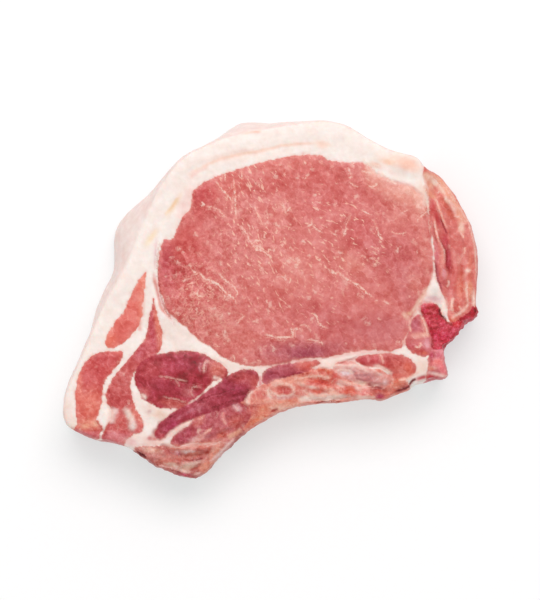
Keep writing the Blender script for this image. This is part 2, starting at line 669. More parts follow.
        ((236, 166, 150), 0.8, (66.4, 8.2), (1, 0.6), 35),
        # the foot
        ((211, 111, 108), 0.85, (61.4, 3.4), (1.8, 3), 0),
        ((220, 114, 94), 0.9, (65, 3.4), (1.5, 3.4), 0),
        ((228, 146, 118), 0.9, (68.1, 4), (0.9, 2.8), 0),
        ((210, 142, 112), 0.7, (68.2, 1), (0.5, 0.8), 0),
        ((243, 206, 190), 0.9, (69.4, 0), (0.7, 3.6), 0),
        ((213, 96, 86), 0.95, (64.4, -2.4), (1.5, 2), 0),
        ((206, 86, 70), 0.9, (66.7, -1.6), (0.6, 0.9), 0),
        ((223, 132, 124), 0.85, (61, -3.6), (0.8, 3), 0),
        ((226, 122, 102), 0.9, (62.2, -7), (1.6, 1.2), 0),
        ((226, 92, 76), 0.9, (63, -8.1), (0.9, 0.6), 0),
        ((238, 176, 170), 0.8, (57.8, 2.4), (0.6, 1.6), 35),
    ),
}
DABS["loin_eye"] = LOIN_DABS


def lay(tone, colour, mask):
    """Lays a colour over tone where mask says."""
    tone += (np.array(surface_colour(*colour)) - tone) * mask[:, None]


# down the sides the dabs fade, as each of them belongs to the cut face
down_side = (1 - ease(np.abs(normals[:, 2]), 0.3, 0.7)) * ease(chop_top / MM - z, 2.5, 10)
for name, dabs in DABS.items():
    here = inside(name) * (1 - 0.7 * down_side)
    for colour, strength, centre, radii, turn in dabs:
        lay(lean_tone, colour, strength * here * dab(centre, radii, turn))
print("dabs laid:", sum(len(dabs) for dabs in DABS.values()))

# %% Strokes over the lean
CREAM = (247, 216, 202)
PALE = (240, 178, 164)
LEAN_STROKES = (
    # membranes and streaks of the round muscle
    ((228, 158, 160), 0.8, 0.8, ((-22.2, -25), (-22.6, -23), (-22, -21.5), (-20.8, -20.6))),
    ((218, 142, 148), 0.6, 0.7, ((-23.6, -25), (-23.9, -23), (-23.4, -21.4))),
    (CREAM, 0.7, 1.0, ((-19.6, -26.4), (-18.4, -26.8), (-16.6, -27.2))),
    (CREAM, 0.75, 1.0, ((-44.2, -32.4), (-43, -33), (-42, -34))),
    # the muscle under it and the lower one
    (CREAM, 0.8, 1.2, ((-35, -47), (-32, -45), (-30, -43.4), (-28, -42.2), (-26.4, -41.8))),
    ((214, 134, 150), 0.7, 0.8, ((-33, -41.8), (-29.5, -39.6), (-26, -37.6), (-22, -36.2))),
    (PALE, 0.6, 0.8, ((-16, -38.4), (-15.9, -41), (-15, -42.8))),
    (PALE, 0.6, 0.8, ((-22.4, -46), (-20, -44.4))),
    (PALE, 0.5, 0.8, ((-24.2, -41.2), (-22, -39.4))),
    ((232, 182, 184), 0.7, 0.9, ((-12, -36.2), (-10.8, -38.2))),
    # rib band
    ((244, 206, 192), 0.8, 0.9, ((0.2, -29.2), (2.4, -28.4), (5.6, -28.8), (8, -30), (8.2, -31.6),
                                 (6.6, -32.8), (3.4, -33.2), (0.8, -32), (-0.2, -30.4))),
    (CREAM, 0.85, 0.9, ((-6.4, -33.2), (-7.8, -34), (-7.8, -35.2), (-6.4, -35.8))),
    (CREAM, 0.6, 0.8, ((-0.5, -29.6), (-0.6, -32), (1, -33.6))),
    ((244, 204, 188), 0.7, 1.2, ((9, -33.6), (15, -33.2), (21, -33), (25, -32.2))),
    ((196, 66, 60), 0.7, 0.8, ((12.4, -26.8), (16, -27.8), (21, -29))),
    ((244, 210, 200), 0.7, 1.0, ((22, -27.4), (26, -29), (30, -29.6))),
    ((236, 186, 176), 0.7, 0.9, ((31, -30.4), (34, -29.6), (37, -29.4))),
    # bone
    ((240, 204, 200), 0.7, 0.8, ((24, -22.6), (28, -22.4), (31, -24), (35, -25))),
    ((188, 118, 118), 0.6, 0.8, ((26, -26.6), (31, -27.4), (36, -28.2))),
    ((242, 210, 206), 0.7, 0.9, ((34.6, -23.6), (36.4, -24.8), (38.2, -26))),
    # flap: its cream outer rim, pale leaf edges, dark valleys
    ((238, 174, 148), 0.85, 1.7, ((52.4, 43.2), (55.4, 42), (58, 40), (60.4, 37), (62.6, 33.6),
                                  (65, 29.4), (67, 25.6))),
    ((242, 206, 188), 0.85, 0.9, ((54.4, 42), (56.4, 40.6), (58, 38.6), (59, 36.6), (60.2, 35))),
    ((214, 122, 106), 0.7, 0.6, ((55.4, 41.6), (57.6, 39.6), (58.8, 37.4))),
    ((240, 164, 148), 0.9, 0.7, ((56, 34.4), (56.8, 33), (57.6, 31), (58.2, 29.4), (59, 27.4),
                                 (59.5, 25.8), (59.9, 24))),
    ((204, 90, 74), 0.9, 0.8, ((58, 35), (60, 33.2), (61.2, 31.6), (62, 30), (62.6, 28), (63.3, 26.4))),
    ((238, 180, 170), 0.8, 0.7, ((60.8, 34.2), (61.8, 32.4), (62.8, 30.4), (63.6, 28.4))),
    ((178, 62, 72), 0.9, 0.7, ((58, 27.4), (58.8, 26), (59.3, 24.6), (60, 23), (60.4, 22))),
    ((241, 170, 158), 0.95, 0.8, ((56, 27.6), (56.3, 25), (56.6, 22.4), (57.3, 20.4), (58.4, 18.4),
                                  (59.2, 16.8), (59.5, 14.4), (59.4, 12))),
    ((178, 62, 72), 0.9, 0.9, ((57.2, 21), (58.4, 19), (59.6, 17), (60.1, 15), (60.3, 12), (60.7, 9.4))),
    ((196, 92, 90), 0.7, 0.6, ((55.8, 26), (55.8, 23), (56.2, 20.6), (57, 18.6))),
    ((230, 134, 128), 0.8, 0.7, ((62, 20), (62.5, 17), (62.8, 14), (63.4, 11), (63.4, 8))),
    ((168, 64, 79), 0.9, 0.7, ((56.2, 14), (56.3, 11), (56.8, 8), (57.3, 6), (58.1, 4.4), (58.8, 2))),
    ((194, 88, 84), 0.85, 0.6, ((64.5, 22.2), (65.4, 20.6), (66, 18.6))),
    ((240, 174, 158), 0.9, 0.7, ((65, 22.8), (66, 20.8))),
    ((240, 168, 152), 0.85, 0.6, ((66.4, 17.8), (66.3, 15.4))),
    ((202, 104, 98), 0.6, 0.6, ((67.4, 17), (67.6, 14), (67, 12))),
    ((206, 104, 92), 0.6, 0.6, ((64, 12), (64.4, 9), (63.8, 6))),
    ((232, 170, 158), 0.7, 0.7, ((58.8, 40.4), (61.4, 36.6), (63.6, 33), (65.4, 29.6), (67.6, 26),
                                 (68.8, 22), (69.9, 17), (70.2, 11), (70, 5))),
    ((244, 206, 196), 0.8, 0.6, ((60.7, 6.6), (60.9, 5.2), (60.2, 4))),
    ((245, 202, 188), 0.9, 0.8, ((62.5, 0.6), (62, -1), (61.9, -3), (62.4, -4.6))),
    ((242, 184, 166), 0.9, 0.7, ((66.8, 6.4), (66.8, 3), (67.2, 0), (67.6, -1.4))),
    ((243, 186, 172), 0.9, 0.9, ((67.6, -1), (67, -2.6), (66, -3.6), (64.6, -4.8), (63, -5.6), (61.8, -6.8))),
    ((240, 166, 150), 0.8, 0.5, ((64.4, -2.2), (65.2, -3.4), (66, -4))),
    # chine muscle: pale arcs round its lobes
    ((242, 176, 162), 0.9, 0.7, ((51, -5.8), (52.2, -7.2), (53, -9), (53.5, -11), (54, -13))),
    ((230, 156, 148), 0.8, 0.7, ((47.7, -6.6), (47.4, -9), (48, -11.4))),
    ((243, 182, 172), 0.9, 0.6, ((49.3, -16), (50.5, -16.5), (51.4, -15.7), (51, -14.7))),
    ((196, 84, 90), 0.8, 0.5, ((46.2, -15.7), (47.6, -15.9), (49.2, -16.2))),
    # chine muscle ring, tip fold
    ((180, 56, 60), 0.7, 0.8, ((-36.8, -49.8), (-35, -51), (-34, -53))),
)
for colour, strength, width, path in LEAN_STROKES:
    lay(lean_tone, colour, strength * (1 - 0.7 * down_side) * stroke(path, width, wander=0.15))
patches = 0.16 * cloud(5.5, 91.0, 2) + 0.12 * cloud(2.2, 97.0)
lean_tone **= 1 + (patches * (1 + 0.3 * inside(["round_muscle", "belly_strip"])))[:, None]
print("strokes laid:", len(LEAN_STROKES))

# %% [markdown]
# ## Colours of the fat
# Fresh pork fat is warm white. It goes pink beside the lean, peach where it is thin, and a
# little yellow along old seams. The rind is paler pink than the fat and smooth.

# %% Ground, dabs and strokes of the fat
fat_tone = np.tile(surface_colour(249, 235, 228), (len(x), 1))
FAT_DABS = (
    ((244, 224, 216), 0.8, (-33, -11), (8, 6), -30),
    ((244, 222, 212), 0.7, (-10, -22.5), (14, 4), 0),
    ((247, 198, 178), 0.9, (46.5, 46), (5, 2.2), -25),
    ((250, 214, 196), 0.6, (40, 47.5), (4, 2.4), -25),
    ((248, 208, 200), 0.6, (-28.5, 33), (2.6, 7), -20),
    ((250, 228, 196), 0.75, (-40.5, 21), (1.2, 3.6), -35),
    ((248, 218, 190), 0.7, (-32.5, 32), (0.9, 4.4), -30),
    ((246, 212, 200), 0.5, (-12, 49), (12, 1.6), 12),
    ((250, 206, 184), 0.6, (18, 52.4), (2.4, 1.2), 0),
    ((240, 200, 180), 0.7, (-38, -39), (5, 1.8), -20),
    ((242, 214, 206), 0.7, (-40, -48.5), (6, 2), 0),
    ((226, 150, 138), 0.7, (-40, -47.4), (2.4, 1.2), 0),
    ((246, 202, 186), 0.6, (-46, -44), (2.4, 3), 0),
    ((248, 214, 204), 0.6, (22, -21.6), (8, 1.6), 8),
    ((250, 226, 216), 0.7, (51.5, -23), (2.2, 3), 0),
    ((244, 216, 204), 0.5, (-69, -38), (2, 6), 0),
    ((250, 222, 204), 0.6, (-66, -43.5), (3, 2), 20),
    ((244, 206, 196), 0.6, (56, 1.5), (2.4, 3), 30),
    ((242, 190, 186), 0.7, (55.5, -0.8), (3, 0.9), -5),
    ((246, 210, 198), 0.5, (52.8, 25), (1.4, 6), 0),
)
FAT_STROKES = (
    # seams so thin that the lean shows through them
    ((230, 132, 124), 0.9, 1.8, ((45, -16.6), (46.4, -13), (47.8, -9), (48.6, -6.4))),
    ((240, 184, 168), 0.8, 1.4, ((48.6, -6.4), (50, -3), (51.6, 0), (53, 2.6))),
    ((232, 160, 158), 0.7, 1.2, ((-4, -22.7), (2, -22.3), (8, -21), (14, -20.6))),
    ((238, 176, 170), 0.6, 1.2, ((14, -20.6), (22, -19.4), (30, -18.2), (40, -17.6), (46, -17))),
    ((222, 128, 132), 0.85, 1.2, ((-3.6, -26), (-3.4, -28), (-3, -30))),
    ((214, 120, 128), 0.6, 1.0, ((-22, -35), (-17, -31), (-12, -27.6))),
    ((247, 205, 184), 0.7, 0.9, ((-28, 42), (-22, 45.5), (-16, 48), (-8, 49.6), (-3, 50.5),
                                 (4, 52), (12, 53), (18, 53.2))),
    ((246, 196, 176), 0.7, 0.9, ((-10, 56.4), (-6, 57), (-3, 57))),
    ((248, 210, 170), 0.75, 0.9, ((-31.6, 34.4), (-33.2, 31.6), (-34.4, 30.2), (-36, 28.4))),
    ((243, 190, 180), 0.5, 0.9, ((-27, 41), (-24.6, 43.2), (-21, 45))),
    ((236, 196, 196), 0.6, 0.8, ((-38.6, 21), (-38.9, 16), (-39, 10))),
    ((226, 130, 112), 0.8, 0.8, ((-39.6, 9.4), (-39.5, 7), (-39, 4.6), (-38.4, 2.6), (-37.8, 0),
                                 (-37.4, -2), (-36.6, -3.6), (-35.2, -5.2), (-33.4, -7.2))),
    ((238, 176, 176), 0.6, 1.4, ((-38.4, 8), (-37.8, 2), (-35.8, -3), (-32, -7.6))),
    ((238, 190, 180), 0.5, 0.9, ((-43.2, 2), (-42.9, -2), (-43.4, -6))),
    ((238, 160, 146), 0.55, 1.2, ((-44.2, -6.8), (-44.4, -11))),
    ((244, 196, 180), 0.6, 0.9, ((53.6, 31), (53.8, 27), (53.8, 23))),
)
for colour, strength, centre, radii, turn in FAT_DABS:
    lay(fat_tone, colour, strength * dab(centre, radii, turn))
for colour, strength, width, path in FAT_STROKES:
    lay(fat_tone, colour, strength * stroke(path, width))

# The rind is all of the outside on the back, left and above this line across the chop.
RIND_LINE = ((-70, -41.5), (54, 46.5))
(left_x, left_y), (right_x, right_y) = RIND_LINE
above = y - left_y - (x - left_x) * (right_y - left_y) / (right_x - left_x)
rind = sideways * ease(above, -0.5, 1.5) * (tissue == "fat")
lay(fat_tone, (245, 219, 212), 0.85 * rind)
print("rind points:", int((rind > 0.5).sum()))

# %% Loose flesh: the rib band, the tip and the feet of the strips
# This paint goes over lean and fat alike, because there the two are mixed.
LOOSE_DABS = (
    # small rib muscle and the band under it
    ((222, 110, 98), 0.9, (12.4, -22.6), (4, 2), 5),
    ((236, 170, 150), 0.8, (6, -28), (6, 1), 4),
    ((216, 112, 104), 0.9, (-3.4, -32), (2.6, 2), 0),
    ((232, 150, 132), 0.7, (-4, -34.8), (2.4, 1), 0),
    ((204, 84, 82), 0.95, (5.2, -31.1), (2.5, 1.4), -5),
    ((224, 154, 152), 0.8, (5, -33.6), (3.4, 0.8), 0),
    ((234, 140, 116), 0.8, (6, -35), (5, 1), 10),
    ((242, 184, 164), 0.8, (7, -36.4), (4, 0.8), 14),
    ((230, 146, 138), 0.7, (11, -31.6), (2.2, 1.2), 0),
    ((245, 206, 192), 0.85, (12.4, -34), (2.6, 1), 8),
    ((232, 182, 184), 0.85, (-11.2, -36.9), (1.7, 1.1), -30),
    ((206, 102, 96), 0.7, (-6, -38), (3, 2), 30),
    ((222, 124, 94), 0.8, (-2.2, -37.6), (1.6, 1.2), 30),
    ((228, 130, 98), 0.8, (-4, -41), (4, 1), 30),
    ((142, 34, 52), 0.8, (-11.6, -32.4), (3, 1.5), -10),
    # the middle of the band
    ((248, 216, 206), 0.85, (20.4, -22.6), (2.6, 0.8), -15),
    ((246, 208, 196), 0.8, (30, -30.6), (1.4, 0.6), -15),
    ((244, 200, 186), 0.8, (10.4, -28.9), (1.8, 0.7), -20),
    ((246, 206, 192), 0.8, (14.6, -30), (1.6, 0.6), -10),
    ((247, 214, 204), 0.8, (24, -29.4), (1.6, 0.5), -30),
    ((228, 112, 94), 0.7, (34.4, -32.2), (2.2, 0.9), 0),
    ((221, 98, 82), 0.85, (17, -28.2), (5, 1.2), -8),
    ((215, 90, 82), 0.85, (22, -26.8), (1.1, 2), 0),
    ((242, 182, 164), 0.8, (21.6, -31.4), (2.2, 1.6), 0),
    ((213, 86, 68), 0.95, (27, -31.2), (2.2, 1.9), -20),
    ((236, 142, 136), 0.7, (32.6, -31.4), (2.4, 1.2), 0),
    ((212, 78, 80), 0.7, (31.8, -32.4), (0.9, 0.7), 0),
    ((216, 98, 90), 0.8, (36.8, -31.4), (1.4, 1), 0),
    ((236, 130, 106), 0.85, (43.6, -28.4), (2.8, 1.4), 10),
    ((198, 86, 112), 0.9, (37.6, -33.2), (1.5, 0.9), 0),
    # bone
    ((230, 160, 154), 0.9, (29, -25.4), (6, 2.4), -15),
    ((240, 212, 216), 0.9, (25.8, -25.1), (1.8, 0.8), -5),
    ((214, 138, 138), 0.8, (33, -26.6), (3.4, 1.4), -10),
    ((218, 146, 142), 0.8, (35.6, -28.2), (2.4, 0.9), -10),
    ((228, 180, 176), 0.85, (39.2, -28.2), (1, 0.9), 0),
    ((225, 114, 96), 0.85, (37, -24.5), (1.5, 0.8), -5),
    ((226, 150, 142), 0.85, (27, -21.6), (3, 0.8), 8),
    # oval muscle, two lobes
    ((197, 72, 80), 0.9, (31.4, -20.6), (1.9, 1.2), -10),
    ((199, 76, 80), 0.9, (35.3, -20.6), (2, 1.6), 0),
    ((214, 114, 110), 0.8, (40, -19.2), (2.4, 1), 0),
    ((207, 96, 90), 0.8, (43, -21.6), (3, 1.6), 0),
    ((230, 120, 102), 0.85, (47, -23.4), (1.8, 2.2), 0),
    ((203, 78, 74), 0.8, (39.6, -22.4), (1, 0.8), 0),
    ((226, 112, 100), 0.7, (43.4, -26), (3, 1), 0),
    ((246, 216, 202), 0.8, (51.8, -22.4), (1.9, 2.6), 0),
    # the horn of the flap, and the ragged corner of the loin under the fat
    ((242, 196, 174), 0.9, (53.4, 41.2), (1.6, 1.2), -20),
    ((238, 172, 146), 0.85, (54.6, 38.8), (1.4, 1.1), -50),
    ((245, 212, 196), 0.9, (56.4, 39.6), (1.7, 0.9), -40),
    ((241, 196, 176), 0.85, (58.6, 37.2), (1.6, 1.1), -48),
    ((236, 160, 132), 0.8, (60.6, 36), (1.2, 0.9), -50),
    ((243, 206, 188), 0.85, (60.3, 33.6), (1.5, 0.7), -55),
    ((242, 192, 180), 0.85, (62.7, 31.6), (1.1, 2.0), 30),
    ((238, 160, 138), 0.7, (64.4, 29), (1.2, 1.6), 25),
    ((243, 196, 178), 0.8, (65.4, 24.8), (0.8, 1.7), 12),
    ((244, 196, 178), 0.85, (35.6, 45.6), (2.4, 1.0), -15),
    ((243, 188, 170), 0.75, (34.4, 42.8), (1.8, 0.6), -10),
    ((246, 204, 178), 0.85, (40.2, 46.6), (2.2, 0.9), -10),
    ((250, 226, 218), 0.9, (41.2, 43.2), (1.8, 0.8), -30),
    ((240, 176, 160), 0.7, (47.6, 36.6), (5, 1.6), -25),
    ((236, 160, 146), 0.6, (45.6, 34), (5.5, 1.6), -25),
    # fat over the marrow
    ((222, 178, 180), 0.85, (55.6, 0.2), (3, 1), -8),
    ((228, 218, 212), 0.8, (55.8, 2.4), (1.6, 1.4), 0),
    ((247, 214, 200), 0.9, (58.9, -3.4), (0.9, 1.8), 0),
    ((234, 184, 176), 0.7, (60, -1), (0.6, 1.6), 10),
    ((232, 174, 152), 0.85, (46.2, -5.6), (1.6, 1), -40),
    ((228, 180, 136), 0.7, (47.5, -4.9), (0.8, 0.5), -30),
    # muscle tail and lower muscle
    ((161, 46, 67), 0.9, (-33.2, -42.8), (2.4, 1.6), 40),
    ((171, 55, 70), 0.8, (-29.4, -40.4), (3, 1.4), 35),
    ((178, 78, 90), 0.8, (-23.6, -37), (2.6, 1.3), 25),
    ((206, 120, 126), 0.8, (-24, -38), (0.7, 0.7), 0),
    ((178, 60, 72), 0.85, (-38.8, -45.4), (1.3, 1.2), 30),
    ((198, 86, 94), 0.8, (-36.8, -46.8), (1.4, 1), 30),
    ((171, 63, 75), 0.9, (-28.4, -46.2), (2.8, 2.4), 40),
    ((212, 114, 105), 0.8, (-24, -42.2), (2.4, 1), 25),
    ((190, 80, 90), 0.7, (-22, -43.8), (2.4, 1.4), 25),
    ((205, 132, 138), 0.8, (-21, -46.8), (1, 0.8), 0),
    ((193, 84, 76), 0.9, (-12.4, -42), (2.6, 2), 10),
    ((197, 80, 62), 0.9, (-16.4, -46.5), (1.8, 1.2), 10),
    # the belly tip
    ((233, 206, 200), 0.95, (-28.4, -51.2), (1.9, 1), -15),
    ((216, 144, 150), 0.8, (-31.4, -52.4), (1, 1), 0),
    ((214, 150, 132), 0.8, (-25.4, -49.6), (1.8, 0.8), 0),
    ((207, 112, 104), 0.8, (-22.6, -50.4), (2, 1), 0),
    ((234, 182, 162), 0.85, (-40, -51.4), (3.2, 1), -8),
    ((214, 130, 126), 0.7, (-34.8, -52.4), (1.6, 1), 0),
    ((196, 98, 82), 0.8, (-34, -56), (4, 0.8), -6),
    ((174, 54, 36), 0.9, (-21.2, -52.3), (0.8, 0.7), 0),
    ((222, 150, 138), 0.5, (-37, -53), (3, 1.0), -8),
    ((238, 196, 178), 0.8, (-33.4, -56.6), (2.6, 0.9), -12),
    ((240, 204, 188), 0.8, (-29.6, -58.6), (2.2, 0.8), -10),
    ((240, 206, 192), 0.75, (-25.4, -55.6), (2.4, 0.8), 12),
    ((236, 180, 168), 0.7, (-24.6, -47.6), (3, 1.2), 25),
    ((200, 76, 58), 0.8, (-20.5, -50.6), (0.6, 1.2), 0),
    ((223, 138, 112), 0.85, (-22.6, -57), (1.6, 2.2), -25),
    ((230, 182, 160), 0.85, (-28, -57.2), (2.2, 0.9), 5),
    ((196, 98, 84), 0.8, (-25.6, -57.7), (1.2, 0.5), 10),
    ((186, 62, 82), 0.85, (-29.2, -59.8), (1.5, 0.6), -20),
    ((233, 190, 180), 0.8, (-24.8, -59.6), (1.6, 0.6), 10),
    ((228, 152, 130), 0.8, (-18.2, -52), (1.6, 3.4), -38),
    # fat at the foot of the strips
    ((233, 182, 178), 0.8, (-47.6, -48.6), (3, 1.4), -20),
    ((242, 208, 198), 0.85, (-39.6, -49.2), (4.2, 0.8), 3),
    ((192, 86, 90), 0.8, (-41, -47.4), (0.9, 0.6), 0),
    ((192, 86, 90), 0.8, (-39, -47.6), (0.8, 0.6), 0),
    ((240, 214, 204), 0.9, (-46.8, -43.4), (1.3, 1.4), 0),
    ((236, 190, 172), 0.8, (-47.6, -39.6), (1.3, 1.8), 20),
    ((240, 178, 150), 0.85, (-62.6, -43.2), (1.4, 0.8), 10),
    ((242, 190, 164), 0.8, (-59.4, -42.4), (1.2, 1), 0),
    ((206, 96, 84), 0.7, (-60.8, -44.6), (1, 0.6), 0),
    ((234, 208, 200), 0.8, (-40.8, -38.4), (2, 0.8), 0),
    ((206, 160, 160), 0.6, (-41, -38.2), (0.7, 0.5), 0),
)
LOOSE_STROKES = (
    ((226, 134, 128), 0.95, 1.3, ((53.8, 29.4), (54, 27), (54.2, 25), (54.3, 23.4))),
    ((247, 218, 204), 0.9, 2.0, ((50.6, 40.4), (52, 37), (52.8, 34), (53.2, 31.4))),
    ((240, 182, 166), 0.7, 2.6, ((46, 38.6), (49.4, 36), (51, 32.4), (51.6, 29))),
    ((246, 220, 212), 0.9, 2.2, ((-52.6, -36.8), (-53.8, -39.4), (-54, -42.6))),
    ((234, 146, 116), 0.85, 1.1, ((52.4, 38.8), (53.4, 36.8), (55, 35), (56.8, 34.4))),
    ((236, 158, 130), 0.7, 0.9, ((57.4, 40.2), (60.4, 37), (62.6, 33.8), (64.6, 30))),
    ((132, 26, 36), 0.9, 0.6, ((57.6, -2.8), (57.7, -4.6), (58.5, -5.8), (59.7, -6.7), (60.1, -7.9))),
    ((130, 14, 22), 0.9, 0.7, ((48.2, -27.8), (49.6, -27.4))),
    ((244, 206, 186), 0.8, 1.1, ((47.6, -5.4), (49.4, -3), (50.4, -1), (52.2, 1.4), (53.8, 4.4))),
    ((218, 106, 78), 0.9, 1.2, ((15.8, -24), (18, -23.8), (19.6, -24.4), (21.4, -25.2))),
    ((170, 60, 74), 0.5, 0.8, ((2, -26.6), (5, -26.4), (8, -25.6), (11, -24.9))),
    ((247, 206, 194), 0.9, 0.8, ((-5.6, -31.2), (-7, -32.6), (-7.5, -34), (-7.6, -35.4))),
    ((243, 198, 182), 0.8, 0.8, ((-0.6, -30.2), (-0.8, -32), (-0.3, -33), (0.8, -34))),
    ((240, 180, 164), 0.7, 0.8, ((1, -29.6), (3.6, -28.9), (6.4, -29.2), (8, -30.4), (7.6, -32))),
    ((238, 172, 152), 0.7, 1.0, ((-3, -34.8), (0, -34.7), (3, -34.4))),
    ((205, 84, 74), 0.85, 1.2, ((12.6, -28), (15, -28.9), (18.6, -28.9))),
    ((216, 92, 76), 0.85, 1.2, ((14.2, -31), (16.4, -31.9), (18.2, -30.4))),
    ((176, 50, 48), 0.85, 0.7, ((0.2, -38.4), (1.4, -37.9), (2.8, -37.4))),
    ((191, 82, 100), 0.7, 0.8, ((-13.6, -34.2), (-11, -33.4), (-8, -32.8))),
    ((186, 96, 92), 0.8, 0.7, ((21.6, -23.4), (24, -21.6), (26, -20.8), (28.2, -20.4), (30, -19.4))),
    ((224, 132, 130), 0.8, 0.7, ((32.8, -18.8), (33.5, -20), (33.3, -21.8))),
    ((230, 152, 142), 0.8, 0.7, ((37.4, -18.6), (38, -20), (38.6, -22))),
    ((174, 106, 112), 0.75, 0.7, ((22.6, -24.2), (26, -24.3), (29.6, -24.8))),
    ((180, 112, 116), 0.65, 0.7, ((28, -25.8), (31, -26.2), (34, -25.6))),
    ((178, 104, 108), 0.65, 0.7, ((29, -27), (32, -27.6), (35, -27))),
    ((245, 216, 208), 0.9, 0.9, ((26.2, -22.9), (29, -22.5), (31.2, -23.1), (33.4, -23.7))),
    ((245, 212, 200), 0.9, 0.9, ((35, -22.9), (37, -22.8), (38.6, -23.6), (40.2, -24.6), (41.6, -25.6))),
    ((242, 204, 182), 0.9, 0.9, ((30, -27.8), (31.4, -29.2), (32.8, -28.5))),
    ((160, 50, 54), 0.85, 0.8, ((33.2, -28.9), (35, -29.8), (38.2, -30.4))),
    ((217, 96, 84), 0.8, 0.7, ((21, -29.3), (22.6, -31), (25, -32.2))),
    ((242, 206, 192), 0.85, 1.2, ((12.4, -33.4), (18, -33.2), (22, -33.4), (26.6, -33.4))),
    ((236, 176, 160), 0.8, 0.7, ((30, -33.6), (33, -33.4), (36, -33.3))),
    ((196, 120, 110), 0.6, 0.6, ((14.6, -35.3), (18, -35.2), (22, -34.7), (24.4, -34.8))),
    ((152, 46, 54), 0.85, 0.8, ((42.4, -31.8), (45.4, -30.7), (47.2, -29.8), (47.9, -28.6),
                               (48.7, -27.6), (49.8, -27.2))),
    ((200, 60, 70), 0.9, 1.2, ((49.4, -27.6), (52, -26.7), (55, -26.2))),
    ((245, 194, 174), 0.85, 0.9, ((43.6, -27.6), (47, -27), (49, -25.8), (51, -24.8))),
    ((128, 32, 48), 0.8, 0.6, ((-35.2, -41.2), (-33.6, -39.9), (-32, -39))),
    ((192, 94, 102), 0.7, 0.9, ((-27.2, -37), (-24, -35.7), (-21.2, -36.3), (-19.4, -38.4))),
    ((243, 206, 194), 0.95, 1.1, ((-35.6, -47.4), (-33, -45.4), (-30.6, -43.6), (-28.6, -42.4),
                                  (-26.8, -41.7))),
    ((223, 134, 122), 0.7, 0.9, ((-26.4, -41.4), (-24.4, -40.7), (-22, -39.8))),
    ((197, 98, 102), 0.7, 0.7, ((-26.4, -44.4), (-26, -46), (-27, -48.2))),
    ((237, 160, 152), 0.85, 0.7, ((-22.4, -46.1), (-21, -44.8), (-19.6, -44.1))),
    ((225, 122, 126), 0.8, 0.7, ((-15.2, -38.2), (-16, -40), (-15.9, -41.6))),
    ((237, 174, 148), 0.8, 1.3, ((-14.4, -47.4), (-12, -45.8), (-9.6, -44.4))),
    ((240, 200, 198), 0.85, 0.8, ((-20.4, -55.4), (-17, -52.5), (-14.6, -49.8), (-12, -47.5))),
    ((197, 90, 92), 0.8, 0.8, ((-37.2, -49.4), (-35.4, -50.4), (-34.3, -51.8))),
    ((200, 110, 98), 0.8, 1.2, ((-38.4, -55), (-34, -54.7), (-30, -54.1), (-26, -53.3), (-22, -52.7))),
    ((168, 60, 64), 0.8, 0.9, ((-27, -54.9), (-25, -54.7), (-22.8, -54.1))),
    ((224, 144, 126), 0.8, 0.7, ((-28.4, -52.8), (-26, -52.5), (-23.6, -52.1))),
    ((227, 152, 146), 0.8, 0.8, ((-38, -56.6), (-34.4, -57.5), (-31, -58.6))),
    ((158, 58, 64), 0.85, 0.7, ((-35, -57.8), (-32, -58.5), (-30, -59.5))),
    ((150, 84, 78), 0.7, 0.6, ((-45.5, -52.2), (-44.2, -52.6), (-43, -53.3), (-42, -54.2))),
    ((214, 130, 116), 0.85, 1.8, ((-37, -50), (-30, -50.8), (-24, -49.8), (-19, -48.8), (-15, -47.6))),
    ((243, 214, 204), 0.9, 1.6, ((-50, -36.8), (-48.6, -38.2), (-47.4, -40), (-46.6, -42), (-46, -44.4))),
    ((246, 214, 202), 0.8, 1.4, ((9.4, -34.6), (12, -34), (16, -34), (20, -34.2), (24, -33.8))),
    ((250, 216, 206), 0.8, 0.8, ((19.4, -21.8), (21.6, -22.6), (24, -22.4), (26, -23))),
    ((250, 220, 210), 0.8, 0.8, ((22, -24.6), (24.6, -23.9), (27, -24.3), (28.4, -25.6))),
    ((244, 190, 172), 0.7, 0.8, ((9, -27.4), (13, -26.4), (17, -26.2), (20.6, -27))),
    ((240, 176, 158), 0.7, 0.8, ((24.6, -28), (28, -28.8), (31, -28.4))),
    ((244, 196, 180), 0.7, 0.8, ((11, -31), (13, -32.4), (16.6, -33), (20, -32.4))),
    ((176, 66, 66), 0.6, 0.8, ((-59.4, -41), (-56.8, -44.6), (-55, -46.6))),
    ((214, 120, 124), 0.6, 0.9, ((-68, -43.6), (-62, -46), (-56, -47.4), (-50, -49.4))),
)
for tone in (lean_tone, fat_tone):
    for colour, strength, centre, radii, turn in LOOSE_DABS:
        lay(tone, colour, strength * dab(centre, radii, turn))
    for colour, strength, width, path in LOOSE_STROKES:
        lay(tone, colour, strength * stroke(path, width, wander=0.12))
print("loose paint:", len(LOOSE_DABS) + len(LOOSE_STROKES))

# %% [markdown]
# ## Marbling
# Fat also runs through the loin in fine threads, thinner than the spacing of the skin's points.
# So each point keeps how far to the side of a thread it lies, and the material draws the thread
# where that distance passes zero, which stays sharp at any size. Threads that lie close
# together go into different sets, as two distances can't share one point.

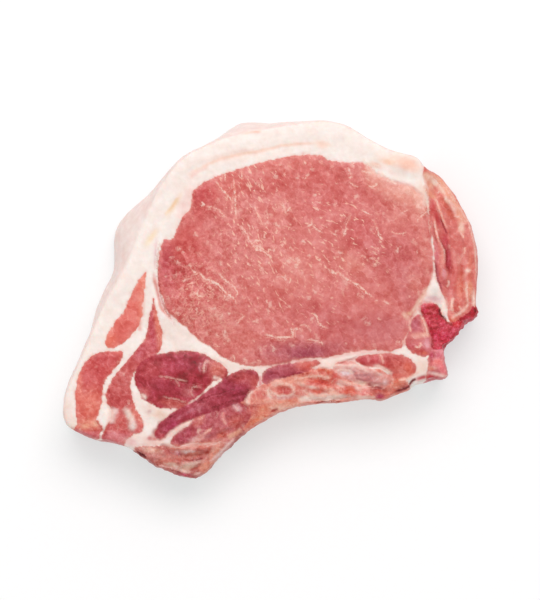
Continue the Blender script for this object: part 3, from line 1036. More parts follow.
# %% Threads of fat: half width, strength, path
THREADS = (
    (0.26, 0.75, ((-18.7, 40.5), (-16.3, 37.1), (-13.6, 34.3), (-11.9, 32), (-11.5, 29), (-11.3, 26))),
    (0.26, 0.75, ((-12.5, 41), (-12, 36.4), (-11.7, 32))),
    (0.22, 0.6, ((-9.8, 44), (-9.5, 40.5))),
    (0.22, 0.55, ((-15.5, 43), (-15, 40))),
    (0.24, 0.5, ((-5.5, 32), (-4.6, 29.5), (-3.6, 27.5), (-2.5, 25.5), (-2, 24.6))),
    (0.3, 0.75, ((-10.2, 25.2), (-8, 22.2), (-7, 20.2), (-5.5, 18), (-4.6, 16.7), (-2, 16.2),
                 (-0.5, 15), (0.6, 13.8))),
    (0.35, 0.7, ((-6.4, 18.6), (-4.5, 20), (-2.8, 19.7))),
    (0.24, 0.55, ((-1.2, 23), (-2, 21.5), (-1.6, 20.3))),
    (0.22, 0.5, ((-7.8, 26), (-7, 24.5), (-6.8, 23))),
    (0.42, 0.7, ((-23.4, 33), (-22.8, 32.2), (-22.5, 31.4))),
    (0.24, 0.55, ((-22, 31.5), (-19, 31), (-17, 30), (-16, 28.8), (-15, 27.8), (-13.8, 26.8))),
    (0.4, 0.7, ((4.3, 33), (5, 30.6), (5.3, 29.5), (6, 28.6))),
    (0.3, 0.6, ((5.3, 29.5), (7.2, 31.5))),
    (0.3, 0.65, ((14.2, 27.8), (14.2, 25.5), (12.4, 24.4))),
    (0.24, 0.6, ((14.4, 25), (16, 23.5), (18, 22.3))),
    (0.24, 0.5, ((12.8, 24), (13.9, 22.2))),
    (0.24, 0.5, ((20, 23.3), (21.5, 22.3), (22.8, 21.5))),
    (0.24, 0.5, ((27.8, 29), (26.8, 27), (25.7, 25), (25.8, 23.5), (25.3, 22.2), (24.6, 21))),
    (0.4, 0.7, ((25.7, 23.6), (25.2, 21.8))),
    (0.3, 0.6, ((16, 31), (16.6, 30))),
    (0.3, 0.6, ((11.5, 47.2), (12.2, 45.8))),
    (0.28, 0.6, ((13.3, 42.8), (12.6, 41.6), (11.8, 40.6))),
    (0.3, 0.6, ((4.6, 43), (5.2, 42))),
    (0.28, 0.6, ((6, 14.4), (7.4, 13.8), (8.6, 12.6))),
    (0.26, 0.55, ((6.7, 17.8), (8, 16.3))),
    (0.26, 0.5, ((13.2, 15.3), (13.9, 14.5))),
    (0.26, 0.5, ((1, 18), (1.6, 16))),
    (0.28, 0.5, ((16.5, 12.2), (17.6, 11.5))),
    (0.28, 0.55, ((-4, 11.8), (-2.3, 10.2))),
    (0.34, 0.7, ((-8, 12), (-6.5, 11.4))),
    (0.24, 0.5, ((2, 7.6), (4.4, 7.8), (5.3, 6.8), (6, 6.2))),
    (0.22, 0.45, ((5.3, 6.8), (5, 9))),
    (0.4, 0.8, ((19.6, 9.6), (20.6, 9.8), (21.8, 8.6), (23.4, 9), (24.5, 8), (26, 6.9))),
    (0.3, 0.75, ((24.5, 8), (26, 6.9), (28, 5.8), (30, 4.8), (31, 3.8), (32, 2.9), (33, 2),
                 (34, 1.2), (35.2, 0.5))),
    (0.26, 0.5, ((35.6, -0.4), (36.8, -0.9))),
    (0.26, 0.55, ((38, -0.6), (39.5, -1.2), (40.6, -1.8))),
    (0.3, 0.5, ((30.3, 15), (31.6, 14.6), (32.6, 14))),
    (0.28, 0.6, ((31, 30.3), (32.5, 29.5), (34.5, 28.5))),
    (0.26, 0.55, ((35, 27), (35.8, 25.5), (36.5, 23.5), (37.2, 21.5))),
    (0.36, 0.75, ((36.6, 22.6), (37.4, 21.2), (38.6, 20))),
    (0.24, 0.5, ((41, 23), (43, 22.2), (45, 22.3), (46.5, 23))),
    (0.24, 0.45, ((44.5, 29), (47, 30.3))),
    (0.34, 0.65, ((36.7, 17.8), (36.8, 16))),
    (0.26, 0.5, ((43, 18), (43.4, 16.8), (43.3, 15.5))),
    (0.26, 0.45, ((50, 16.5), (50.2, 15.4))),
    (0.28, 0.6, ((26.5, 45), (27.3, 43), (27.8, 41.5), (26.6, 41))),
    (0.26, 0.5, ((27, 40), (28.5, 38.6), (30, 38))),
    (0.4, 0.6, ((33.6, 38.2), (35.4, 38.5), (36.6, 39.6))),
    (0.4, 0.6, ((31, 43.6), (32.6, 43), (34.2, 43.2))),
    (0.55, 0.8, ((31.4, 47.6), (32.6, 46.6), (33.6, 45), (34.6, 44))),
    (0.6, 0.8, ((34.4, 47), (36, 45.4), (37.4, 44.6))),
    (0.45, 0.65, ((27.4, 47.2), (28, 45.6), (28.2, 44.6))),
    (0.6, 0.75, ((36.4, 43.2), (38.2, 42.4), (40, 42))),
    (0.45, 0.6, ((39.6, 40.4), (41.6, 40), (43.4, 38.8))),
    (0.34, 0.6, ((54, 30), (51, 28), (50, 26))),
    (0.3, 0.6, ((14.8, -4.6), (15.8, -5.8), (16.2, -7.2), (17.2, -8.8), (18, -9.3), (20, -10))),
    (0.34, 0.75, ((-2, -12), (0.5, -12.6), (2, -13.2), (5.5, -13), (7.6, -12.9), (7.9, -11.7),
                  (7.3, -10.6), (9, -10.2), (10.5, -10.5), (11.3, -11.3))),
    (0.26, 0.55, ((10, -9.2), (11.5, -8.8), (13.2, -9.2), (12.8, -9.9))),
    (0.28, 0.5, ((12, -14), (14, -14), (16, -14.3), (17.5, -15), (18, -16))),
    (0.24, 0.45, ((0, -15.5), (1.2, -16.6), (2.3, -17.4))),
    (0.28, 0.6, ((-6, -13.8), (-5.3, -14.8))),
    (0.26, 0.5, ((6, -2), (7, -3))),
    (0.26, 0.5, ((-1.5, -0.3), (-0.8, -1.5))),
    (0.26, 0.5, ((5, 3.8), (6, 3))),
    (0.28, 0.55, ((-9.2, 1.2), (-8.5, 0))),
    (0.26, 0.5, ((-8.5, 4), (-8, 3))),
    (0.26, 0.5, ((-6, -7.6), (-5, -7.7))),
    (0.26, 0.5, ((-8, -7.3), (-7, -8))),
    (0.26, 0.6, ((-10, -5), (-9, -5.8), (-10, -6.6), (-11, -8), (-12, -8.8))),
    (0.26, 0.5, ((-21, -2.5), (-20, -3.2), (-19.3, -3.5))),
    (0.28, 0.65, ((-13, -18.8), (-12.3, -20), (-12.2, -21))),
    (0.26, 0.5, ((-19, -15), (-17, -16.5))),
    (0.3, 0.8, ((-26.9, 11.5), (-26.8, 10), (-26, 9.2), (-24.5, 9), (-23.5, 8.8), (-23, 7.8),
                (-22, 6.8), (-21, 6.5), (-19.5, 5.8), (-18, 5.3), (-17, 4.3), (-16, 3.2),
                (-15, 1.9), (-13.5, 1), (-12.3, 0.2), (-11.7, -1), (-11.3, -2))),
    (0.26, 0.65, ((-17.8, 9.3), (-17, 8.2), (-15.5, 6.5), (-14, 5.5), (-12.7, 4.6), (-12, 4),
                  (-11.3, 2.8), (-10.8, 2), (-11.5, 1.2), (-11.7, 0.2))),
    (0.24, 0.6, ((-15.2, 1.8), (-15.4, 0.5), (-15.9, -0.4))),
    (0.26, 0.6, ((-28, 1), (-27, 1.5), (-26, 2), (-25, 2), (-24.5, 1), (-23.5, 0.8), (-22.5, 1))),
    (0.26, 0.5, ((-25, 2), (-24.3, 3.5))),
    (0.26, 0.5, ((-21.6, 3.1), (-20.8, 2.5))),
    (0.26, 0.5, ((-24, 16), (-23.4, 15))),
    # the membranes of the round muscle
    (0.34, 0.34, ((-38, -26.2), (-36, -26.4), (-34, -26.7), (-32.5, -27.2), (-30, -27.7), (-28, -28))),
    (0.3, 0.25, ((-32.5, -27.2), (-31.6, -28.4), (-30.8, -30))),
    (0.34, 0.3, ((-36.5, -33), (-34.5, -33.7), (-32, -34), (-30, -34.8), (-28, -35))),
    (0.34, 0.28, ((-22.6, -30.4), (-24.6, -29.6), (-26.4, -30.2), (-27, -32), (-25.6, -33.4))),
    (0.34, 0.3, ((-22.4, -25.4), (-22.8, -23.4), (-22, -21.6), (-20.6, -21.2), (-20.2, -22.8))),
    # the seam between the loin and the flap
    (0.5, 0.9, ((52.4, 39), (52.8, 36.5), (53.4, 34), (53.7, 31), (54, 28.4))),
    (0.3, 0.35, ((54, 28.4), (54.2, 25), (54.4, 22))),
)
# dark creases where leaves of meat part, or blood has gathered
CREASES = (
    (0.3, 0.4, ((-37.6, 20), (-38.3, 14), (-38.2, 8), (-37.4, 2), (-35.4, -4), (-32, -9.4))),
    (0.34, 0.9, ((-45.6, -52.2), (-44.2, -52.4), (-43.4, -53.1), (-42.2, -54.1))),
    (0.26, 0.75, ((14.6, -35.2), (17, -35.3), (20, -34.8), (22, -34.5), (24.3, -34.9))),
    (0.34, 0.5, ((43, -31.5), (45, -30.9), (47, -30.3), (47.6, -29.1), (48.1, -28.1), (49.5, -27.5))),
    (0.3, 0.5, ((57.6, -2.8), (57.7, -4.6), (58.5, -5.8), (59.7, -6.7), (60.1, -7.9))),
    (0.3, 0.25, ((-26.8, -35.6), (-23, -34), (-19, -32.6), (-15.4, -31.6), (-11.6, -30.4))),
    (0.3, 0.25, ((-19.8, -37), (-17, -36.2), (-14.4, -34.8), (-11.6, -34.4))),
    (0.24, 0.35, ((9.4, -25.2), (11.6, -25.6), (13, -25.2))),
)
PIECES_APART = 2.0
REACH = 0.95
FINE = 0.9


def spaced(path, step=0.4):
    """Points every step along a path."""
    path = np.array(path, float)
    rows = []
    for start, end in zip(path, path[1:]):
        count = max(2, int(np.hypot(*(end - start)) / step) + 1)
        rows.append(start + (end - start) * np.linspace(0, 1, count)[:, None])
    return np.concatenate(rows)


def share_out(threads):
    """Puts threads into as few sets as keep those of one set apart."""
    sets = []
    for thread in threads:
        own = spaced(thread[2])
        for taken, members in sets:
            gaps = np.hypot(*(own[:, None] - np.concatenate(taken)[None]).transpose(2, 0, 1))
            if gaps.min() > PIECES_APART:
                taken.append(own)
                members.append(thread)
                break
        else:
            sets.append(([own], [thread]))
    return [members for _, members in sets]


def put_attribute(mesh, name, kind, values):
    layer = mesh.attributes.new(name, kind, "POINT")
    field = {"FLOAT": "value", "FLOAT_VECTOR": "vector", "FLOAT_COLOR": "color"}[kind]
    layer.data.foreach_set(field, np.ascontiguousarray(values, np.float32).ravel())


# Lines belong to the cut faces: down the sides they would run on as stripes.
on_face = np.maximum(
    ease(np.abs(normals[:, 2]), 0.2, 0.5), ease(z - chop_top / MM, -2.6, -1.2)
)


def put_lines(name, lines):
    """Stores lines as sets of maps on the skin, and returns how many sets there are."""
    sets = share_out(lines)
    for number, members in enumerate(sets):
        values = np.zeros((len(x), 3))
        values[:, 0] = REACH
        values[:, 2] = 0.3
        for width, strength, path in members:
            near, away, share = follow(path, REACH, wander=0.15)
            ends = np.clip(np.minimum(share, 1 - share) / 0.18, 0, 1) ** 0.6
            fade = (1 - ease(np.abs(away), 0.7, REACH)) * on_face[near]
            values[near] = np.stack([away, strength * ends * fade, np.full(len(near), width * 0.72)], 1)
        put_attribute(chop.data, f"{name}_{number}", "FLOAT_VECTOR", values)
    print(name, len(lines), "in sets:", len(sets))
    return len(sets)


# The narrow strokes are drawn again as crisp lines: pale ones as threads, dark ones as creases.
narrow = [row for row in LEAN_STROKES + LOOSE_STROKES if row[2] <= FINE]
pale = [(0.26, 0.55 * row[1], row[3]) for row in narrow if row[0][1] > 150]
dark = [(0.26, 0.25 * row[1], row[3]) for row in narrow if row[0][1] < 80] + list(CREASES)


# Short seeded threads fill the loin between the drawn ones. They lean more the further right.
def short_threads(count, seed, where):
    dice = np.random.default_rng(seed)
    starts = dice.choice(np.flatnonzero(where & (lean_edge > 1.2) & (normals[:, 2] > 0.8)), count)
    made = []
    for start in starts:
        lean_angle = -62 + 30 * ease(x[start], -10, 40)
        if dice.random() < 0.22:
            lean_angle += 90
        spot, path = np.array([x[start], y[start]]), []
        bend = dice.normal(0, 16)
        for _ in range(dice.integers(2, 5)):
            path.append(tuple(spot))
            angle = math.radians(lean_angle + bend + dice.normal(0, 20))
            spot = spot + dice.uniform(0.5, 1.0) * np.array([math.cos(angle), math.sin(angle)])
        made.append((dice.uniform(0.4, 0.75), dice.uniform(0.2, 0.5), tuple(path)))
    return made


short = short_threads(100, 7, inside("loin_eye"))
short += short_threads(14, 11, inside(["belly_strip", "flank_muscle", "lower_muscle", "back_flap"]))
short += short_threads(40, 5, inside("loin_eye") & (x < 6))
thread_sets = put_lines("threads", list(THREADS) + pale + short)
crease_sets = put_lines("creases", dark)

# %% [markdown]
# ## Relief of the cut
# A knife leaves the lean slightly proud of the fat, with a shallow groove along each wall. The
# meat between the ribs, the thin flap and the belly tip are loose: they fold, and their edges
# stand up. Each ridge or hollow below follows a path on the face, and soft noise roughens the
# rest, more where the flesh is torn than where it was cut clean.

# %% Ridges and hollows: height in millimetres, half width, path
RIDGES = (
    # the flap behind the backbone, leaf by leaf
    (-0.5, 1.0, ((57.4, 28), (58.3, 22.5), (59, 20), (60, 17), (60.5, 13), (60.9, 10), (61.4, 7))),
    (0.7, 0.8, ((56, 28), (56.5, 24), (56.8, 21), (57.5, 19), (58.7, 17), (59.3, 14), (59.8, 10),
                (60.1, 6))),
    (0.6, 0.8, ((55.4, 34.6), (56.8, 32.2), (58.2, 30), (59.3, 27.6), (60.3, 24), (61.2, 19),
                (62, 14))),
    (-0.4, 0.8, ((56.6, 31), (58, 28), (59.2, 25), (60, 22))),
    (-0.3, 1.4, ((57.6, 35), (60, 31.8), (61.8, 28.4), (62.8, 26))),
    (0.6, 1.8, ((56.4, 37.6), (60.2, 34), (62.4, 30.6), (63.6, 27), (64.6, 23), (65.6, 18))),
    (-0.5, 1.2, ((64, 15), (64.6, 9), (64.4, 3))),
    (0.7, 1.4, ((67, 12), (67.4, 5), (67.2, -1))),
    (0.6, 1.0, ((62.4, 6), (61.9, 0), (62.4, -4))),
    (-0.4, 0.9, ((54.2, 32), (55, 26), (55.9, 19), (56.6, 12), (57.4, 6))),
    (0.9, 1.3, ((59, 0), (59.4, -3), (59.2, -6))),
    # the rib band
    (0.6, 1.4, ((0, -29), (3, -28.4), (7, -29.4), (8, -31.4), (5, -33), (1, -32.2))),
    (0.3, 1.4, ((2.6, -30.8), (6.4, -30.8))),
    (-0.7, 0.9, ((11, -26), (16, -27.4), (21, -28.8), (26, -29.6))),
    (0.6, 1.0, ((10, -28.6), (15, -29.4), (20, -30.6))),
    (-0.9, 0.8, ((13, -34.4), (19, -34.4), (24, -33.8), (28, -33))),
    (0.8, 1.0, ((24, -31.6), (29, -32.6), (35, -32.8))),
    (-0.6, 0.9, ((-7.6, -32.8), (-8.8, -35.6), (-7.4, -37.6))),
    (0.6, 0.9, ((-5.8, -33.4), (-7, -35), (-5.6, -36.6))),
    (0.5, 1.2, ((22.4, -22.8), (28, -22.2), (33, -24.4), (38, -25.2))),
    (-0.7, 1.0, ((24, -26.8), (29, -28.6), (35, -29.6), (41, -29.6))),
    (0.6, 1.0, ((42, -29), (45.6, -27.8), (49, -26.2))),
    # the belly end
    (-0.9, 0.8, ((-36.8, -49.6), (-35, -51), (-33.8, -53.4))),
    (0.8, 1.2, ((-34, -50.2), (-28, -51.4), (-22, -50.6), (-17, -49.2))),
    (-0.5, 1.0, ((-38, -53.6), (-32, -53.8), (-26, -53.4), (-20.8, -52.4))),
    (0.7, 1.0, ((-36, -55.6), (-30, -56), (-25, -55.4))),
    (-0.6, 0.9, ((-30, -58), (-26, -58), (-22.6, -56))),
    (0.8, 1.2, ((-24.6, -59), (-21, -55.6), (-17.4, -51.6), (-13, -47.6))),
    (-1.2, 0.9, ((-46, -51.8), (-44, -53), (-41.6, -54.4))),
    (0.5, 0.9, ((-35, -47), (-32, -45), (-28, -42.2), (-26, -41.4))),
    (-0.5, 0.8, ((-22, -48), (-17, -46), (-13, -44.4))),
    (0.5, 1.0, ((-17, -45), (-13, -42), (-9, -40.6))),
    (0.7, 1.4, ((-55.6, -37.6), (-55.2, -41), (-56.4, -44))),
    (0.5, 1.2, ((-49, -36.6), (-46.8, -40), (-47.6, -44))),
    # folds and creases of the cap of fat
    (-0.15, 1.2, ((-30, 41), (-22, 45.8), (-14, 48.6), (-6, 50), (4, 52), (12, 53))),
    (-0.15, 1.2, ((-31.6, 34.4), (-34, 30.6), (-38, 25), (-42, 19.6))),
    (-0.4, 0.8, ((-39.6, 10), (-39.4, 5), (-38, 0), (-35, -5), (-31, -9))),
    (0.4, 1.6, ((-34, 8), (-33.6, 2), (-30, -4))),
    (-0.1, 1.2, ((34, 44.6), (40, 42.8), (46, 41), (51, 40))),
    (0.5, 2.0, ((40, 46.6), (46, 45), (50, 43))),
)
relief = np.zeros(len(x))
for height, width, path in RIDGES:
    relief += height * stroke(path, width * 1.5, taper=0.25, wander=0.5)

# The lean is domed and parts from the fat in a groove.
groove = np.exp(-((lean_edge / 0.55) ** 2))
dome = ease(lean_edge, 0, 2.2)
relief += 0.22 * dome - 0.16 * groove

# %% Noise, rougher where the flesh is torn
ROUGHNESS = {
    "loin_eye": 0.1, "upper_strip": 0.16, "flank_muscle": 0.22, "belly_strip": 0.22,
    "round_muscle": 0.16, "rib_muscle": 0.18, "lower_muscle": 0.24, "belly_tip": 0.5,
    "small_rib_muscle": 0.14, "oval_muscle": 0.16, "rib_bone": 0.3, "rib_meat": 0.42,
    "chine_marrow": 0.55, "chine_muscle": 0.18, "chine_meat": 0.35, "back_flap": 0.2,
}
in_lean = ease(lean_edge, -0.6, 0.8)
tear = np.array([ROUGHNESS[name] for name in muscle]) * in_lean + 0.07 * (1 - in_lean)
lumps = cloud(2.6, 5.5, 3)
grains = cloud(1.0, 31.0, 2)
relief += tear * (0.9 * lumps + 0.5 * grains)

# A point of the face moves up or down, and a point of a side moves in or out.
face_move = relief * ease(np.abs(normals[:, 2]), 0.35, 0.85) * np.sign(normals[:, 2])
under = z < MIDDLE / MM
face_move[under] *= 0.25
side_move = sideways * (tear * 1.2 * cloud(3.4, 44.0, 3) * (1 - rind))
side_move += sideways * inside(["chine_marrow", "chine_meat"]) * 0.6 * cloud(1.9, 66.0, 2)
side_move += rind * (0.25 * cloud(7.0, 51.0, 2) + 0.05 * cloud(1.2, 61.0))
edge_z = 0.0 * x
edge_z[:] = face_move
moved = points.copy()
moved[:, 2] += edge_z * MM
moved += normals * [1, 1, 0.2] * side_move[:, None] * MM


def pull(points, centre, shift, radius):
    """Draws the points round a place sideways, as a sculptor's grab brush does."""
    gap = np.hypot(x - centre[0], y - centre[1]) / radius
    share = np.where(gap < 1, (1 - np.minimum(gap, 1) ** 2) ** 2, 0.0)
    points[:, :2] += share[:, None] * np.array(shift) * MM


for centre, shift, radius in (
    ((58.6, -25.4), (0.9, -0.8), 3.0),
    ((69.6, -5), (0.6, 0.3), 2.4),
    ((64.6, -8.6), (0.9, -0.2), 2.0),
    ((58.6, -15.8), (-0.6, 0.3), 1.8),
    ((52.4, 41.6), (-0.2, 0.6), 2.4),
):
    pull(moved, centre, shift, radius)
moved[:, 2] = np.maximum(moved[:, 2], 0.02 * MM)
set_points(chop.data, moved)
print("relief from", round(relief.min(), 2), "to", round(relief.max(), 2), "mm")

# %% [markdown]
# ## Hand the maps to the material
# The tones, the distance to the wall and the masks are stored on the skin's points, and the
# material reads them by name.

# %% Masks for the grain and the sheen
steep = inside("loin_eye") * (0.5 * dab((-8, 26), (14, 20)) + 0.6 * dab((0, 10), (14, 16)))
steep += inside("loin_eye") * 0.5 * dab((-6, 40), (12, 8))
slant = inside("loin_eye") * (0.75 * dab((20, 22), (17, 20)) + 0.25 * dab((38, 14), (12, 16)))
slant += inside("loin_eye") * 0.4 * dab((10, -6), (18, 8))
net = inside("loin_eye") * (0.75 * dab((-22, -3), (12, 14)) + 0.35 * dab((-26, 8), (8, 12)))
net += inside("loin_eye") * 0.4 * dab((-12, 20), (8, 14))
calm = inside("loin_eye") * (0.8 * dab((-29, 19), (4, 5)) + 0.6 * dab((36, -9), (11, 6)))
gristle = (
    0.7 * inside("rib_meat") + 0.35 * inside(["belly_tip", "lower_muscle", "chine_meat"])
    + 0.2 * inside("back_flap") + 0.3 * inside("rib_bone")
    + 0.35 * inside(["flank_muscle", "belly_strip"]) * ease(-y, 34, 42)
)
fray = 0.32 + 0.9 * dab((37, 43), (7, 4), -20) + 0.5 * dab((-44, -37), (4, 5)) + 0.5 * (
    dab((-60, -42), (5, 3))
) + 0.5 * inside(["rib_meat", "belly_tip", "chine_meat"])
soft = 2.0 + 11 * dab((42, 41), (11, 4.4), -24) + 5 * dab((52.5, 33), (3, 6)) + 3 * (
    dab((-38, -44), (6, 4)) + dab((54.6, 8), (2.4, 12)) + dab((50, -2), (4, 7), 60)
) + 2 * dab((-26, -37), (12, 3), 32) + 1.2 * dab((-30, 34), (8, 4), 50)
eye = inside("loin_eye")
some = eye + 0.2 * inside(["belly_strip", "flank_muscle", "chine_muscle"])
steep += 0.45 * some - 0.2 * eye * dab((36, -4), (16, 14))
slant += 0.35 * some
net += 0.1 * eye
marrow = inside("chine_marrow").astype(float)
GRAIN = {
    "loin_eye": 0.75, "upper_strip": 0.5, "flank_muscle": 0.8, "belly_strip": 1.0,
    "round_muscle": 1.0, "rib_muscle": 1.0, "lower_muscle": 1.0, "belly_tip": 0.9,
    "small_rib_muscle": 0.7, "oval_muscle": 0.8, "rib_bone": 0.7, "rib_meat": 1.0,
    "chine_marrow": 1.4, "chine_muscle": 0.6, "chine_meat": 1.0, "back_flap": 0.6,
}
coarse = np.array([GRAIN[name] for name in muscle]) + 0.25 * net - 0.3 * calm
coarse += eye * (0.5 * dab((-29, 4), (7, 14), -10) - 0.25 * dab((26, 6), (26, 26)))

put_attribute(chop.data, "lean_tone", "FLOAT_COLOR", np.column_stack([lean_tone, np.ones(len(x))]))
put_attribute(chop.data, "fat_tone", "FLOAT_COLOR", np.column_stack([fat_tone, np.ones(len(x))]))
put_attribute(chop.data, "lean_edge", "FLOAT", lean_edge)
put_attribute(chop.data, "fray", "FLOAT", fray)
put_attribute(chop.data, "rind", "FLOAT", rind)
put_attribute(chop.data, "flecks", "FLOAT_VECTOR", np.column_stack([steep, slant, net]))
put_attribute(chop.data, "nature", "FLOAT_VECTOR", np.column_stack([gristle, marrow, calm]))
put_attribute(chop.data, "coarse", "FLOAT", coarse)
put_attribute(chop.data, "soft", "FLOAT", soft)
print("maps:", [layer.name for layer in chop.data.attributes if not layer.is_internal])

# %% [markdown]
# ## Grain of the flesh
# Lean is bundles of fibres cut across, so it looks mottled, darker where a bundle is wet. Short
# pale flecks of fat lie between the bundles. Both are one node group, as the loose bits use
# them too.


# %% The grain group
def new_group(name, inputs, outputs):
    group = bpy.data.node_groups.new(name, "ShaderNodeTree")
    for label, kind in inputs:
        group.interface.new_socket(label, in_out="INPUT", socket_type=kind)
    for label, kind in outputs:
        group.interface.new_socket(label, in_out="OUTPUT", socket_type=kind)
    start = group.nodes.new("NodeGroupInput")
    end = group.nodes.new("NodeGroupOutput")
    return group, start.outputs, end.inputs


grain, given, made = new_group(
    "flesh grain",
    (("Tone", "NodeSocketColor"), ("Strength", "NodeSocketFloat")),
    (("Colour", "NodeSocketColor"), ("Height", "NodeSocketFloat")),
)
place = add_node(grain, "ShaderNodeTexCoord").outputs["Object"]
bundles = texture(grain, place, 1.5 * MM, 3, 0.6)
drift = texture(grain, place, 6.0 * MM, 2, 0.5)
fibres = texture(grain, place, 0.5 * MM, 2, 0.6)
depth = sums(grain, "ADD", sums(grain, "MULTIPLY", sums(grain, "SUBTRACT", bundles, 0.5), 1.0),
             sums(grain, "MULTIPLY", sums(grain, "SUBTRACT", drift, 0.5), 0.45))
depth = sums(grain, "ADD", depth, sums(grain, "MULTIPLY", sums(grain, "SUBTRACT", fibres, 0.5), 0.5))
power = sums(grain, "MULTIPLY_ADD", depth, given["Strength"], 1.0)
toned = add_node(grain, "ShaderNodeGamma", {"Color": given["Tone"], "Gamma": power}).outputs[0]
grain.links.new(toned, made["Colour"])
grain.links.new(sums(grain, "ADD", bundles, sums(grain, "MULTIPLY", fibres, 0.6)), made["Height"])

# %% The bundle group: cells with their own shade, and thin films between them
bundle, given, made = new_group(
    "fibre bundles",
    (("Turn", "NodeSocketFloat"), ("Size", "NodeSocketFloat")),
    (("Shade", "NodeSocketFloat"), ("Film", "NodeSocketFloat")),
)
place = add_node(bundle, "ShaderNodeTexCoord").outputs["Object"]
warp = add_node(
    bundle, "ShaderNodeTexNoise", {"Vector": place, "Scale": 1 / (2.6 * MM), "Detail": 3.0}
).outputs["Color"]
warp = add_node(
    bundle, "ShaderNodeVectorMath", {0: warp, 1: (0.5, 0.5, 0.5)}, operation="SUBTRACT"
).outputs[0]
bent = add_node(
    bundle, "ShaderNodeVectorMath", {0: warp, 1: (3.4 * MM,) * 3, 2: place}, operation="MULTIPLY_ADD"
).outputs[0]
turned = add_node(
    bundle, "ShaderNodeVectorRotate", {"Vector": bent, "Angle": given["Turn"]},
    rotation_type="Z_AXIS",
).outputs[0]
longer = add_node(
    bundle, "ShaderNodeVectorMath", {0: turned, 1: (0.6, 1.0, 0.3)}, operation="MULTIPLY"
).outputs[0]
scale = sums(bundle, "DIVIDE", 1.0, given["Size"])
cell = add_node(bundle, "ShaderNodeTexVoronoi", {"Vector": longer, "Scale": scale}, feature="F1")
edge = add_node(
    bundle, "ShaderNodeTexVoronoi", {"Vector": longer, "Scale": scale}, feature="DISTANCE_TO_EDGE"
)
shade = add_node(bundle, "ShaderNodeSeparateColor", {0: cell.outputs["Color"]}).outputs[0]
bundle.links.new(shade, made["Shade"])
dashed = ramp(bundle, texture(bundle, place, 1.0 * MM, 2), 0.4, 0.62)
film = sums(bundle, "MULTIPLY", ramp(bundle, edge.outputs["Distance"], 0.11, 0.0), dashed)
bundle.links.new(film, made["Film"])

# %% The fleck group: short pale dashes that lean one way
dashes, given, made = new_group(
    "fat flecks",
    (("Turn", "NodeSocketFloat"), ("Size", "NodeSocketFloat"), ("Amount", "NodeSocketFloat")),
    (("Mask", "NodeSocketFloat"),),
)
place = add_node(dashes, "ShaderNodeTexCoord").outputs["Object"]
turned = add_node(
    dashes, "ShaderNodeVectorRotate", {"Vector": place, "Angle": given["Turn"]},
    rotation_type="Z_AXIS",
).outputs[0]
longer = add_node(
    dashes, "ShaderNodeVectorMath", {0: turned, 1: (0.42, 1.0, 0.25)}, operation="MULTIPLY"
).outputs[0]
scaled = add_node(
    dashes, "ShaderNodeVectorMath", {0: longer, "Scale": sums(dashes, "DIVIDE", 1.0, given["Size"])},
    operation="SCALE",
).outputs[0]
spots = add_node(
    dashes, "ShaderNodeTexNoise",
    {"Vector": scaled, "Scale": 1.0, "Detail": 1.5, "Roughness": 0.5, "Distortion": 0.6},
).outputs["Fac"]
limit = sums(dashes, "MULTIPLY_ADD", given["Amount"], -0.11, 0.72)
mask = add_node(
    dashes, "ShaderNodeMapRange",
    {"Value": spots, "From Min": limit, "From Max": sums(dashes, "ADD", limit, 0.1)},
    interpolation_type="SMOOTHSTEP",
).outputs[0]
frost = ramp(dashes, spots, 0.53, 0.72)
mask = sums(dashes, "MAXIMUM", mask, sums(dashes, "MULTIPLY", frost, 0.25))
dashes.links.new(sums(dashes, "MULTIPLY", mask, sums(dashes, "MINIMUM", given["Amount"], 1.0)),
                 made["Mask"])

# %% The flesh material
flesh, tree, shader = new_material("chop flesh")
place = add_node(tree, "ShaderNodeTexCoord").outputs["Object"]
nature = add_node(
    tree, "ShaderNodeSeparateXYZ", {0: attribute(tree, "nature").outputs["Vector"]}
).outputs
fleck_map = add_node(
    tree, "ShaderNodeSeparateXYZ", {0: attribute(tree, "flecks").outputs["Vector"]}
).outputs
gristle_map, marrow_map, calm_map = nature[0], nature[1], nature[2]

# lean: tone, grain, flecks, threads
grained = add_node(tree, "ShaderNodeGroup", node_tree=grain)
tree.links.new(attribute(tree, "lean_tone").outputs["Color"], grained.inputs["Tone"])
tree.links.new(attribute(tree, "coarse").outputs["Fac"], grained.inputs["Strength"])
lean = grained.outputs["Colour"]

FLECK = (*surface_colour(246, 198, 178), 1)
quiet = sums(tree, "SUBTRACT", 1.0, calm_map, clamp=True)
fleck_mask = None
for amount, turn, size in (
    (fleck_map[0], 60, 0.95 * MM),
    (fleck_map[1], 32, 0.9 * MM),
    (fleck_map[2], -25, 0.75 * MM),
):
    node = add_node(tree, "ShaderNodeGroup", node_tree=dashes)
    node.inputs["Turn"].default_value = math.radians(turn)
    node.inputs["Size"].default_value = size
    tree.links.new(sums(tree, "MULTIPLY", amount, quiet), node.inputs["Amount"])
    found = node.outputs["Mask"]
    fleck_mask = found if fleck_mask is None else sums(tree, "MAXIMUM", fleck_mask, found)

bundles = add_node(tree, "ShaderNodeGroup", node_tree=bundle)
bundles.inputs["Turn"].default_value = math.radians(52)
bundles.inputs["Size"].default_value = 2.6 * MM
shade = sums(tree, "MULTIPLY_ADD", bundles.outputs["Shade"], 0.24, 0.88)
lean = add_node(tree, "ShaderNodeGamma", {"Color": lean, "Gamma": shade}).outputs[0]
patchy = ramp(tree, texture(tree, place, 5.0 * MM, 1), 0.36, 0.6)
film_mask = sums(tree, "MULTIPLY", bundles.outputs["Film"], sums(tree, "MULTIPLY", patchy, quiet))
paler = sums(tree, "MULTIPLY_ADD", film_mask, -0.25, 1.0)
lean = add_node(tree, "ShaderNodeGamma", {"Color": lean, "Gamma": paler}).outputs[0]

